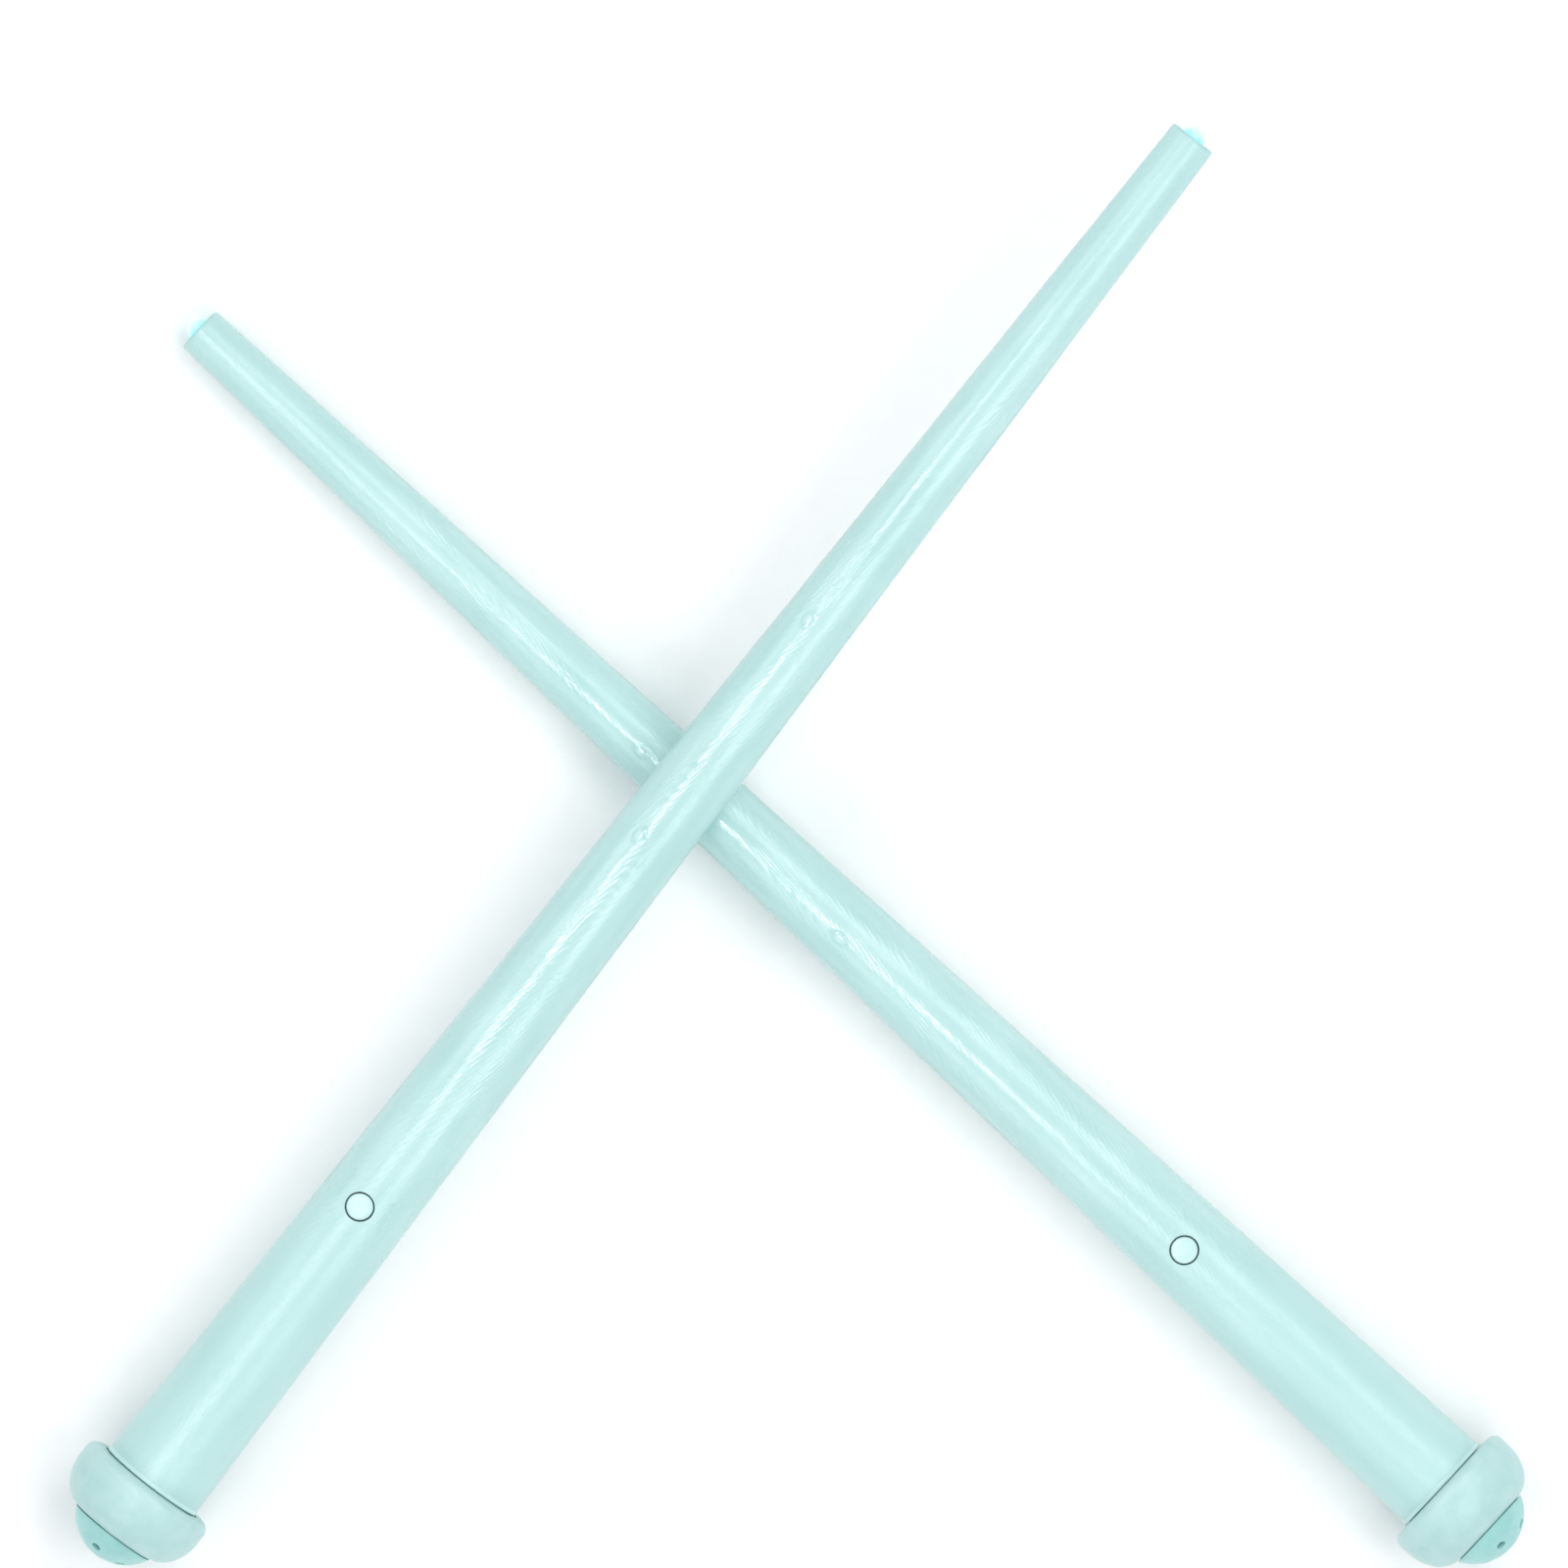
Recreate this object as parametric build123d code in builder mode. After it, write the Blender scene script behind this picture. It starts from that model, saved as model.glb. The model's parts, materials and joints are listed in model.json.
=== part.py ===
"""A crossed pair of tapered light-up sticks: two moulded half shells, a collar and an end cap on each.

Each piece is drawn once in a stick's own frame: +X runs from the pole of the end cap (x = 0) to
the LED, and +Z points out through the push button. The pieces are then placed twice, for the
stick that lies on top and the one beneath it. Millimetres; the origin of the pair is the middle
of its bounding box on the surface that it lies on, with +Z up.
"""

from build123d import *
import os
from math import atan, cos, degrees, radians, sin, sqrt

os.makedirs("parts", exist_ok=True)

# Stick: outline
TOTAL_LENGTH = 355.6
SHAFT_START = 18.2
SHAFT_END = 353.3
SHAFT_START_RADIUS = 10.73
SHAFT_END_RADIUS = 4.95
LIP_RADIUS = 10.95
LIP_LENGTH = 0.3
LIP_FOOT = 19.3
SPIGOT_START = 8.0
SPIGOT_RADIUS = 9.7
WALL = 1.5
BORE_START = 21.9

# End cap and collar
CAP_RADIUS = 10.0
CAP_WALL = 1.4
CAP_DEPTH = 5.65
CAP_SEAT_RADIUS = 8.3
CAP_SKIRT_RADIUS = 7.55
CAP_SKIRT_END = 9.0
CAP_SKIRT_WALL = 1.2
SOUND_HOLES = 5
SOUND_HOLE_RADIUS = 0.92
SOUND_HOLE_TILT = 34.0
SOUND_HOLE_TURN = 3.5
COLLAR_START = 5.9
COLLAR_END = 18.0
COLLAR_RADIUS = 14.65
COLLAR_CREST_START = 14.2
COLLAR_CREST_END = 16.0
COLLAR_CORNER_RADIUS = 2.0
COLLAR_CURVE_HEIGHT = 6.05
COLLAR_FACE_INNER = 11.25
COLLAR_RELIEF = 0.3
RUNNING_GAP = 0.05

# Cutters reach BEYOND the shaft's outside, and bosses and ribs BITE into its wall
BEYOND = 14.0
BITE = WALL / 4

# Push button and tact switch
BUTTON_X = 87.0
BUTTON_HOLE_RADIUS = 2.95
BUTTON_RADIUS = 2.65
BUTTON_TOP = 9.5
BUTTON_FLANGE_RADIUS = 3.7
BUTTON_FLANGE_TOP = 6.8
BUTTON_FLANGE = 0.8
BUTTON_STEM_RADIUS = 1.6
SWITCH_SIDE = 6.0
SWITCH_HEIGHT = 3.5
PLUNGER_RADIUS = 1.7
PLUNGER_TOP = 5.5
PLUNGER_BOTTOM = 3.05
PLUNGER_WELL_BOTTOM = 2.6

# Circuit board
BOARD_START = 66.0
BOARD_END = 106.0
BOARD_WIDTH = 11.0
BOARD_THICKNESS = 1.0
BOARD_TOP = BOARD_THICKNESS / 2
BOARD_BOTTOM = -BOARD_THICKNESS / 2
BOARD_SCREW_XS = (69.5, 103.0)
BOARD_POST_RADIUS = 2.2
BOARD_SCREW_TIP = 4.5

# Screws: M2 pan heads throughout
SCREW_RADIUS = 1.0
SCREW_HEAD_RADIUS = 1.9
SCREW_HEAD = 1.4
PILOT_RADIUS = 1.05
CLEARANCE_RADIUS = 1.15
SHELL_SCREW_XS = (114.0, 200.0, 284.0)
SHELL_BOSS_RADIUS = 2.9
SHELL_SCREW_SEAT = -2.6
SHELL_SCREW_TIP = 3.6
SCREW_BORE_RADIUS = 2.1
HEAD_ROUND = 0.5
PILOT_RUN_OUT = 0.4
RECESS_LENGTH = 2.2
RECESS_WIDTH = 0.5
RECESS_DEPTH = 0.7

# Cells, holder and contacts
CELL_RADIUS = 5.8
CELL_THICKNESS = 5.4
CELL_COUNT = 3
CELL_CASE_RADIUS = 4.9
CELL_START = 33.0
CELL_AXIS_Z = -1.0
CELL_STEP = 1.2
CELL_CLEARANCE = 0.02
CELL_EDGE_ROUND = 0.4
HOLDER_START = 28.4
HOLDER_END = 51.2
HOLDER_END_WALL = 1.3
HOLDER_BORE = 5.95
HOLDER_WALL = 1.1
HOLDER_OPEN_Z = -4.6
HOLDER_RIB_XS = (34.0, 46.0)
HOLDER_RIB_THICKNESS = 1.2
HOLDER_RIB_NOTCH = 7.6
TAIL_SLOT_CLEARANCE = 0.1
TAIL_SLOT_LENGTH = 0.5
CONTACT_THICKNESS = 0.3
CONTACT_SIDE = 7.0
CONTACT_BUTTON_RADIUS = 2.2
TAIL_WIDTH = 1.6
TAIL_TOP = 7.2
NEGATIVE_TAIL_Y = 1.3
POSITIVE_TAIL_Y = 3.2
SPRING_WIRE_RADIUS = 0.25
SPRING_RADIUS = 3.4
SPRING_PITCH = 0.9
SPRING_CONE = -22.0

# Battery door, seated in a rebate of the rear shell
DOOR_START = 28.0
DOOR_END = 60.0
DOOR_HALF_WIDTH = 7.15
DOOR_GAP = 0.15
DOOR_SCREW_X = 56.0
LEDGE_START = 26.0
LEDGE_END = 62.0
LEDGE_THICKNESS = 1.0
LEDGE_TOP_Z = -4.95
BAY_START = 29.5
BAY_END = 51.6
BAY_HALF_WIDTH = 5.95
BAY_TOP = -4.0
DOOR_SCREW_SEAT = -7.9
DOOR_PAD_RADIUS = 3.2
DOOR_PAD_TOP = -7.2
DOOR_SCREW_TIP = -3.0
DOOR_BOSS_RADIUS = 2.3
DOOR_BOSS_TOP = -2.5
DOOR_BOSS_COLLAR_RADIUS = 4.6
DOOR_BOSS_COLLAR_TOP = -5.9
DOOR_BOSS_COLLAR_BOTTOM = -8.0
DOOR_NOTCH_RADIUS = 2.0
DOOR_NOTCH_OUTSIDE = 0.6

# Speaker
SPEAKER_RADIUS = 8.0
SPEAKER_START = 9.05
SPEAKER_END = 12.0
SPEAKER_WALL = 0.6
MAGNET_RADIUS = 4.0
MAGNET_END = 14.4
CONE_RADIUS = 7.0
CONE_THICKNESS = 0.2
CONE_RIM_OVERLAP = 0.5
COIL_OUTER = 3.4
COIL_INNER = 3.2
COIL_LENGTH = 1.0
DUST_CAP_RADIUS = 3.0
DUST_CAP_HEIGHT = 0.5
MAGNET_CHAMFER = 0.4
RIB_START = 12.05
RIB_END = 13.25
RIB_RADIUS = 6.6

# LED and its bush
LED_RADIUS = 2.5
LED_FLANGE_RADIUS = 2.95
LED_FLANGE_START = 346.2
LED_FLANGE_END = 347.2
BUSH_END = 352.65
BUSH_RADIUS = 3.38
BUSH_BORE = 2.53
BEZEL_START = 352.7
BEZEL_RADIUS = 2.62
BUSH_POCKET_RADIUS = 3.42
LED_RIB_START = 345.1
LED_RIB_END = 346.15
LED_RIB_RADIUS = 2.3
LEAD_RADIUS = 0.25
LEAD_Y = 1.27
LEAD_START = 338.0
SLEEVE_RADIUS = 0.85
SLEEVE_START = 333.0
SLEEVE_END = 343.0

# Wires
WIRE_RADIUS = 0.5
WIRE_Z = BOARD_TOP + WIRE_RADIUS + 0.05

# How the two sticks lie, seen from above
UPPER_POLE = (0.0, 0.0)
LOWER_POLE = (278.97, 1.32)
UPPER_HEADING = 52.22
LOWER_HEADING = 137.1
ROLL_TO_LEFT = 5.0
CROSSING_GAP = 0.12


def shaft_radius(x):
    """Outer radius of the tapered shaft."""
    share = (x - SHAFT_START) / (SHAFT_END - SHAFT_START)
    return SHAFT_START_RADIUS + share * (SHAFT_END_RADIUS - SHAFT_START_RADIUS)


def bore_radius(x):
    """Inner radius of the tapered shaft."""
    return shaft_radius(x) - WALL


def revolved_block(points, arc=360):
    """Turn an outline of (x, radius) points about the stick's axis."""
    with BuildPart() as block:
        with BuildSketch(Plane.XY):
            with BuildLine():
                Polyline(*points, close=True)
            make_face()
        revolve(axis=Axis.X, revolution_arc=arc)
    return block.part


def column(x, y, radius, bottom, top):
    """Upright cylinder, parallel to the button's axis."""
    with BuildPart() as post:
        with BuildSketch(Plane.XY.offset(bottom)):
            with Locations((x, y)):
                Circle(radius)
        extrude(amount=top - bottom)
    return post.part


def slab(x_range, y_range, z_range):
    """Block between two corners."""
    spans = [high - low for low, high in (x_range, y_range, z_range)]
    middle = [(low + high) / 2 for low, high in (x_range, y_range, z_range)]
    with BuildPart() as block:
        with Locations(tuple(middle)):
            Box(*spans)
    return block.part


def disc(start, end, radius, y=0.0, z=0.0, bore=0.0):
    """Cylinder or tube along the stick's axis."""
    with BuildPart() as block:
        with BuildSketch(Plane.YZ.offset(start)):
            with Locations((y, z)):
                Circle(radius)
                if bore:
                    Circle(bore, mode=Mode.SUBTRACT)
        extrude(amount=end - start)
    return block.part


def screw(x, seat, tip, head_side):
    """M2 screw parallel to the button's axis; head_side is -1 for a head that faces -Z."""
    head_end = seat + head_side * SCREW_HEAD
    with BuildPart() as body:
        add(column(x, 0, SCREW_RADIUS, min(seat, tip), max(seat, tip)))
        add(column(x, 0, SCREW_HEAD_RADIUS, min(seat, head_end), max(seat, head_end)))
        rim = body.edges().filter_by(GeomType.CIRCLE).sort_by(Axis.Z)
        fillet(rim[0] if head_side < 0 else rim[-1], radius=HEAD_ROUND)
        for span in ((RECESS_LENGTH, RECESS_WIDTH), (RECESS_WIDTH, RECESS_LENGTH)):
            with Locations((x, 0, head_end - head_side * RECESS_DEPTH / 2)):
                Box(*span, RECESS_DEPTH, mode=Mode.SUBTRACT)
    return body.part


def wire(points):
    """Insulated wire through points, with arcs as large as the runs allow."""
    radii = []
    for before, here, after in zip(points, points[1:], points[2:]):
        first = Vector(*here) - Vector(*before)
        second = Vector(*after) - Vector(*here)
        half_turn = radians(first.get_angle(second)) / 2
        radii.append(0.45 * min(first.length, second.length) / sin(half_turn) * cos(half_turn))
    with BuildPart() as body:
        with BuildLine() as path:
            FilletPolyline(*points, radius=radii)
        start = path.wires()[0]
        with BuildSketch(Plane(origin=start @ 0, z_dir=start % 0)):
            Circle(WIRE_RADIUS)
        sweep(path=start)
    return body.part


# Shells: the two halves share one plain half tube, split at z = 0

shell_outline = [
    (SPIGOT_START, SPIGOT_RADIUS),
    (SHAFT_START, SPIGOT_RADIUS),
    (SHAFT_START, LIP_RADIUS),
    (SHAFT_START + LIP_LENGTH, LIP_RADIUS),
    (LIP_FOOT, shaft_radius(LIP_FOOT)),
    (SHAFT_END, SHAFT_END_RADIUS),
    (SHAFT_END, BEZEL_RADIUS),
    (BEZEL_START, BEZEL_RADIUS),
    (BEZEL_START, BUSH_POCKET_RADIUS),
    (LED_RIB_END, BUSH_POCKET_RADIUS),
    (LED_RIB_END, LED_RIB_RADIUS),
    (LED_RIB_START, LED_RIB_RADIUS),
    (LED_RIB_START, bore_radius(LED_RIB_START)),
    (BORE_START, bore_radius(BORE_START)),
    (SHAFT_START + WALL, SPIGOT_RADIUS - WALL),
    (RIB_END, SPIGOT_RADIUS - WALL),
    (RIB_END, RIB_RADIUS),
    (RIB_START, RIB_RADIUS),
    (RIB_START, SPIGOT_RADIUS - WALL),
    (SPIGOT_START, SPIGOT_RADIUS - WALL),
]
half_tube = revolved_block(shell_outline, arc=180)

# Cross ribs that hold the cell holder down, with a notch for the wires
holder_ribs = []
for rib_x in HOLDER_RIB_XS:
    with BuildPart() as rib:
        with BuildSketch(Plane.YZ.offset(rib_x)):
            Circle(bore_radius(rib_x) + BITE)
            with Locations((0, -bore_radius(rib_x))):
                Rectangle(2 * BEYOND, 2 * bore_radius(rib_x), mode=Mode.SUBTRACT)
            with Locations((0, CELL_AXIS_Z)):
                Circle(HOLDER_BORE + HOLDER_WALL + RUNNING_GAP, mode=Mode.SUBTRACT)
            with Locations((0, bore_radius(rib_x))):
                Rectangle(HOLDER_RIB_NOTCH, 2 * bore_radius(rib_x), mode=Mode.SUBTRACT)
        extrude(amount=HOLDER_RIB_THICKNESS)
    holder_ribs.append(rib.part)

with BuildPart() as front_shell:
    add(half_tube)
    for x in SHELL_SCREW_XS:
        add(column(x, 0, SHELL_BOSS_RADIUS, 0, bore_radius(x) + BITE))
    for x in BOARD_SCREW_XS:
        add(column(x, 0, BOARD_POST_RADIUS, BOARD_TOP, bore_radius(x) + BITE))
    add(holder_ribs)
    for x in SHELL_SCREW_XS:
        add(column(x, 0, PILOT_RADIUS, 0, SHELL_SCREW_TIP + PILOT_RUN_OUT), mode=Mode.SUBTRACT)
    for x in BOARD_SCREW_XS:
        pilot_end = BOARD_SCREW_TIP + PILOT_RUN_OUT
        add(column(x, 0, PILOT_RADIUS, BOARD_TOP, pilot_end), mode=Mode.SUBTRACT)
    add(column(BUTTON_X, 0, BUTTON_HOLE_RADIUS, PLUNGER_TOP, BEYOND), mode=Mode.SUBTRACT)
front_shell.part.label = "front_shell"

# Ledge under the battery door: a thickened band inside the rear half
ledge_outline = [
    (LEDGE_START, bore_radius(LEDGE_START) + BITE),
    (LEDGE_END, bore_radius(LEDGE_END) + BITE),
    (LEDGE_END, bore_radius(LEDGE_END) - LEDGE_THICKNESS),
    (LEDGE_START, bore_radius(LEDGE_START) - LEDGE_THICKNESS),
]
with BuildPart() as ledge:
    mirror(revolved_block(ledge_outline, arc=180), about=Plane.XY)
    add(slab((LEDGE_START, LEDGE_END), (-BEYOND, BEYOND), (-BEYOND, LEDGE_TOP_Z)), mode=Mode.INTERSECT)

# Door-shaped piece of the shell's wall, first with no clearance to cut the rebate
rebate_outline = [
    (DOOR_START, bore_radius(DOOR_START)),
    (DOOR_END, bore_radius(DOOR_END)),
    (DOOR_END, shaft_radius(DOOR_END) + 1),
    (DOOR_START, shaft_radius(DOOR_START) + 1),
]
with BuildPart() as rebate:
    mirror(revolved_block(rebate_outline, arc=180), about=Plane.XY)
    add(
        slab((DOOR_START, DOOR_END), (-DOOR_HALF_WIDTH, DOOR_HALF_WIDTH), (-BEYOND, -1)),
        mode=Mode.INTERSECT,
    )

with BuildPart() as rear_shell:
    mirror(half_tube, about=Plane.XY)
    add(ledge.part)
    add(column(DOOR_SCREW_X, 0, DOOR_BOSS_RADIUS, DOOR_PAD_TOP, DOOR_BOSS_TOP))
    add(
        column(
            DOOR_SCREW_X,
            0,
            DOOR_BOSS_COLLAR_RADIUS,
            DOOR_BOSS_COLLAR_BOTTOM,
            DOOR_BOSS_COLLAR_TOP,
        )
    )
    for x in SHELL_SCREW_XS:
        add(column(x, 0, SHELL_BOSS_RADIUS, -bore_radius(x) - BITE, 0))
    add(rebate.part, mode=Mode.SUBTRACT)
    add(
        slab((BAY_START, BAY_END), (-BAY_HALF_WIDTH, BAY_HALF_WIDTH), (-BEYOND, BAY_TOP)),
        mode=Mode.SUBTRACT,
    )
    add(
        column(DOOR_SCREW_X, 0, DOOR_PAD_RADIUS + DOOR_GAP, -BEYOND, DOOR_PAD_TOP + DOOR_GAP),
        mode=Mode.SUBTRACT,
    )
    door_pilot_end = DOOR_SCREW_TIP + PILOT_RUN_OUT / 2
    add(column(DOOR_SCREW_X, 0, PILOT_RADIUS, -BEYOND, door_pilot_end), mode=Mode.SUBTRACT)
    for x in SHELL_SCREW_XS:
        add(column(x, 0, CLEARANCE_RADIUS, -BEYOND, 1), mode=Mode.SUBTRACT)
        add(column(x, 0, SCREW_BORE_RADIUS, -BEYOND, SHELL_SCREW_SEAT), mode=Mode.SUBTRACT)
rear_shell.part.label = "rear_shell"

# Battery door and its screw

door_outline = [
    (DOOR_START + DOOR_GAP, bore_radius(DOOR_START + DOOR_GAP)),
    (DOOR_END - DOOR_GAP, bore_radius(DOOR_END - DOOR_GAP)),
    (DOOR_END - DOOR_GAP, shaft_radius(DOOR_END - DOOR_GAP)),
    (DOOR_START + DOOR_GAP, shaft_radius(DOOR_START + DOOR_GAP)),
]
door_side = DOOR_HALF_WIDTH - DOOR_GAP
with BuildPart() as battery_door:
    mirror(revolved_block(door_outline, arc=180), about=Plane.XY)
    add(slab((DOOR_START, DOOR_END), (-door_side, door_side), (-BEYOND, -1)), mode=Mode.INTERSECT)
    pad_bottom = -bore_radius(DOOR_SCREW_X) - WALL / 2
    add(column(DOOR_SCREW_X, 0, DOOR_PAD_RADIUS, pad_bottom, DOOR_PAD_TOP))
    add(column(DOOR_SCREW_X, 0, SCREW_BORE_RADIUS, -BEYOND, DOOR_SCREW_SEAT), mode=Mode.SUBTRACT)
    add(column(DOOR_SCREW_X, 0, PILOT_RADIUS, -BEYOND, 0), mode=Mode.SUBTRACT)
    # Fingernail notch at the butt end
    notch_z = -shaft_radius(DOOR_START) - DOOR_NOTCH_OUTSIDE
    with Locations((DOOR_START + DOOR_GAP, 0, notch_z)):
        Sphere(DOOR_NOTCH_RADIUS, mode=Mode.SUBTRACT)
battery_door.part.label = "battery_door"

with BuildPart() as door_screw:
    add(screw(DOOR_SCREW_X, DOOR_SCREW_SEAT, DOOR_SCREW_TIP, head_side=-1))
door_screw.part.label = "door_screw"

with BuildPart() as shell_screws:
    for x in SHELL_SCREW_XS:
        add(screw(x, SHELL_SCREW_SEAT, SHELL_SCREW_TIP, head_side=-1))
shell_screws.part.label = "shell_screws"

# Collar: an elliptic shoulder towards the cap, a rounded corner towards the shaft

collar_curve_length = COLLAR_CREST_START - COLLAR_START
collar_inner_radius = COLLAR_RADIUS - COLLAR_CURVE_HEIGHT
collar_corner_base = COLLAR_RADIUS - COLLAR_CORNER_RADIUS
with BuildPart() as pommel_ring:
    with BuildSketch(Plane.XY):
        with BuildLine():
            EllipticalCenterArc(
                (COLLAR_CREST_START, collar_inner_radius),
                collar_curve_length,
                COLLAR_CURVE_HEIGHT,
                start_angle=90,
                arc_size=90,
            )
            Line((COLLAR_CREST_START, COLLAR_RADIUS), (COLLAR_CREST_END, COLLAR_RADIUS))
            CenterArc(
                (COLLAR_CREST_END, collar_corner_base),
                COLLAR_CORNER_RADIUS,
                start_angle=0,
                arc_size=90,
            )
            Polyline(
                (COLLAR_END, collar_corner_base),
                (COLLAR_END, COLLAR_FACE_INNER),
                (COLLAR_END - COLLAR_RELIEF, COLLAR_FACE_INNER),
                (COLLAR_END - COLLAR_RELIEF, SPIGOT_RADIUS + RUNNING_GAP),
                (SPIGOT_START, SPIGOT_RADIUS + RUNNING_GAP),
                (SPIGOT_START, CAP_SKIRT_RADIUS + RUNNING_GAP),
                (COLLAR_START, CAP_SKIRT_RADIUS + RUNNING_GAP),
                (COLLAR_START, collar_inner_radius),
            )
        make_face()
    revolve(axis=Axis.X)
pommel_ring.part.label = "pommel_ring"

# End cap: a thin spherical cap with a skirt that plugs into the collar

cap_inner = CAP_RADIUS - CAP_WALL
cap_rim_radius = sqrt(CAP_RADIUS**2 - (CAP_RADIUS - CAP_DEPTH) ** 2)
skirt_inner = CAP_SKIRT_RADIUS - CAP_SKIRT_WALL
skirt_root = CAP_RADIUS - sqrt(cap_inner**2 - skirt_inner**2)
outer_mid = CAP_RADIUS * (1 - cos(radians(32))), CAP_RADIUS * sin(radians(32))
inner_mid = CAP_RADIUS - cap_inner * cos(radians(24)), cap_inner * sin(radians(24))
with BuildPart() as pommel_dome:
    with BuildSketch(Plane.XY):
        with BuildLine():
            ThreePointArc((0, 0), outer_mid, (CAP_DEPTH, cap_rim_radius))
            Polyline(
                (CAP_DEPTH, cap_rim_radius),
                (CAP_DEPTH, CAP_SEAT_RADIUS),
                (COLLAR_START, CAP_SEAT_RADIUS),
                (COLLAR_START, CAP_SKIRT_RADIUS),
                (CAP_SKIRT_END, CAP_SKIRT_RADIUS),
                (CAP_SKIRT_END, skirt_inner),
                (skirt_root, skirt_inner),
            )
            ThreePointArc((skirt_root, skirt_inner), inner_mid, (CAP_WALL, 0))
            Line((CAP_WALL, 0), (0, 0))
        make_face()
    revolve(axis=Axis.X)
    for number in range(SOUND_HOLES):
        turn = radians(SOUND_HOLE_TURN + number * 360 / SOUND_HOLES)
        tilt = radians(SOUND_HOLE_TILT)
        outwards = (-cos(tilt), sin(tilt) * sin(turn), sin(tilt) * cos(turn))
        with BuildSketch(Plane(origin=(CAP_RADIUS, 0, 0), z_dir=outwards)):
            Circle(SOUND_HOLE_RADIUS)
        extrude(amount=CAP_RADIUS + 1, mode=Mode.SUBTRACT)
pommel_dome.part.label = "pommel_dome"

# Speaker

speaker_outline = [
    (SPEAKER_START, SPEAKER_RADIUS),
    (SPEAKER_END, SPEAKER_RADIUS),
    (SPEAKER_END, MAGNET_RADIUS + RUNNING_GAP),
    (SPEAKER_END - SPEAKER_WALL, MAGNET_RADIUS + RUNNING_GAP),
    (SPEAKER_END - SPEAKER_WALL, SPEAKER_RADIUS - SPEAKER_WALL),
    (SPEAKER_START + SPEAKER_WALL, SPEAKER_RADIUS - SPEAKER_WALL),
    (SPEAKER_START + SPEAKER_WALL, CONE_RADIUS - CONE_RIM_OVERLAP),
    (SPEAKER_START, CONE_RADIUS - CONE_RIM_OVERLAP),
]
with BuildPart() as speaker_frame:
    add(revolved_block(speaker_outline))
speaker_frame.part.label = "speaker_frame"

cone_start = SPEAKER_START + SPEAKER_WALL
with BuildPart() as speaker_cone:
    add(disc(cone_start, cone_start + CONE_THICKNESS, CONE_RADIUS))
    add(disc(cone_start + CONE_THICKNESS, cone_start + COIL_LENGTH, COIL_OUTER, bore=COIL_INNER))
    with BuildSketch(Plane.XY):
        with BuildLine():
            ThreePointArc(
                (cone_start - DUST_CAP_HEIGHT, 0),
                (cone_start - DUST_CAP_HEIGHT * 3 / 4, DUST_CAP_RADIUS / 2),
                (cone_start, DUST_CAP_RADIUS),
            )
            Polyline(
                (cone_start, DUST_CAP_RADIUS),
                (cone_start + CONE_THICKNESS / 2, DUST_CAP_RADIUS),
                (cone_start + CONE_THICKNESS / 2, 0),
                (cone_start - DUST_CAP_HEIGHT, 0),
            )
        make_face()
    revolve(axis=Axis.X)
speaker_cone.part.label = "speaker_cone"

with BuildPart() as speaker_magnet:
    add(disc(SPEAKER_END - SPEAKER_WALL, MAGNET_END, MAGNET_RADIUS))
    magnet_rim = speaker_magnet.edges().filter_by(GeomType.CIRCLE).sort_by(Axis.X)[-1]
    chamfer(magnet_rim, length=MAGNET_CHAMFER)
speaker_magnet.part.label = "speaker_magnet"

# Cell holder: a trough open towards the door, with slots for the contact tails

holder_outer = HOLDER_BORE + HOLDER_WALL
with BuildPart() as battery_holder:
    with BuildSketch(Plane.YZ.offset(HOLDER_START)):
        with Locations((0, CELL_AXIS_Z)):
            Circle(holder_outer)
        with Locations((0, (CELL_AXIS_Z + HOLDER_OPEN_Z) / 2)):
            Rectangle(2 * holder_outer, CELL_AXIS_Z - HOLDER_OPEN_Z)
        with Locations((0, HOLDER_OPEN_Z - holder_outer)):
            Rectangle(2 * holder_outer, 2 * holder_outer, mode=Mode.SUBTRACT)
    extrude(amount=HOLDER_END - HOLDER_START)
    with BuildSketch(Plane.YZ.offset(HOLDER_START + HOLDER_END_WALL)):
        with Locations((0, CELL_AXIS_Z)):
            Circle(HOLDER_BORE)
        with Locations((0, CELL_AXIS_Z - holder_outer)):
            Rectangle(2 * HOLDER_BORE, 2 * holder_outer)
    extrude(amount=HOLDER_END - HOLDER_START - 2 * HOLDER_END_WALL, mode=Mode.SUBTRACT)
    for tail_x, tail_y in (
        (HOLDER_START + HOLDER_END_WALL, NEGATIVE_TAIL_Y),
        (HOLDER_END - HOLDER_END_WALL - TAIL_SLOT_LENGTH, POSITIVE_TAIL_Y),
    ):
        half_slot = TAIL_WIDTH / 2 + TAIL_SLOT_CLEARANCE
        tail_slot = slab(
            (tail_x, tail_x + TAIL_SLOT_LENGTH),
            (tail_y - half_slot, tail_y + half_slot),
            (0, BEYOND),
        )
        add(tail_slot, mode=Mode.SUBTRACT)
battery_holder.part.label = "battery_holder"

with BuildPart() as button_cells:
    for number in range(CELL_COUNT):
        start = CELL_START + number * CELL_THICKNESS
        can_end = start + CELL_THICKNESS - CELL_CLEARANCE
        add(disc(start, start + CELL_STEP, CELL_CASE_RADIUS, z=CELL_AXIS_Z))
        add(disc(start + CELL_STEP, can_end, CELL_RADIUS, z=CELL_AXIS_Z))
    circles = button_cells.edges().filter_by(GeomType.CIRCLE)
    fillet(circles.filter_by(lambda e: e.radius > CELL_CASE_RADIUS), radius=CELL_EDGE_ROUND)
button_cells.part.label = "button_cells"


def contact_plate(start, tail_y):
    """Pressed contact with a solder tail that comes out of the holder."""
    half = CONTACT_SIDE / 2
    with BuildPart() as plate:
        add(
            slab(
                (start, start + CONTACT_THICKNESS),
                (-half, half),
                (CELL_AXIS_Z - half, CELL_AXIS_Z + half),
            )
        )
        add(
            slab(
                (start, start + CONTACT_THICKNESS),
                (tail_y - TAIL_WIDTH / 2, tail_y + TAIL_WIDTH / 2),
                (0, TAIL_TOP),
            )
        )
    return plate.part


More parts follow.
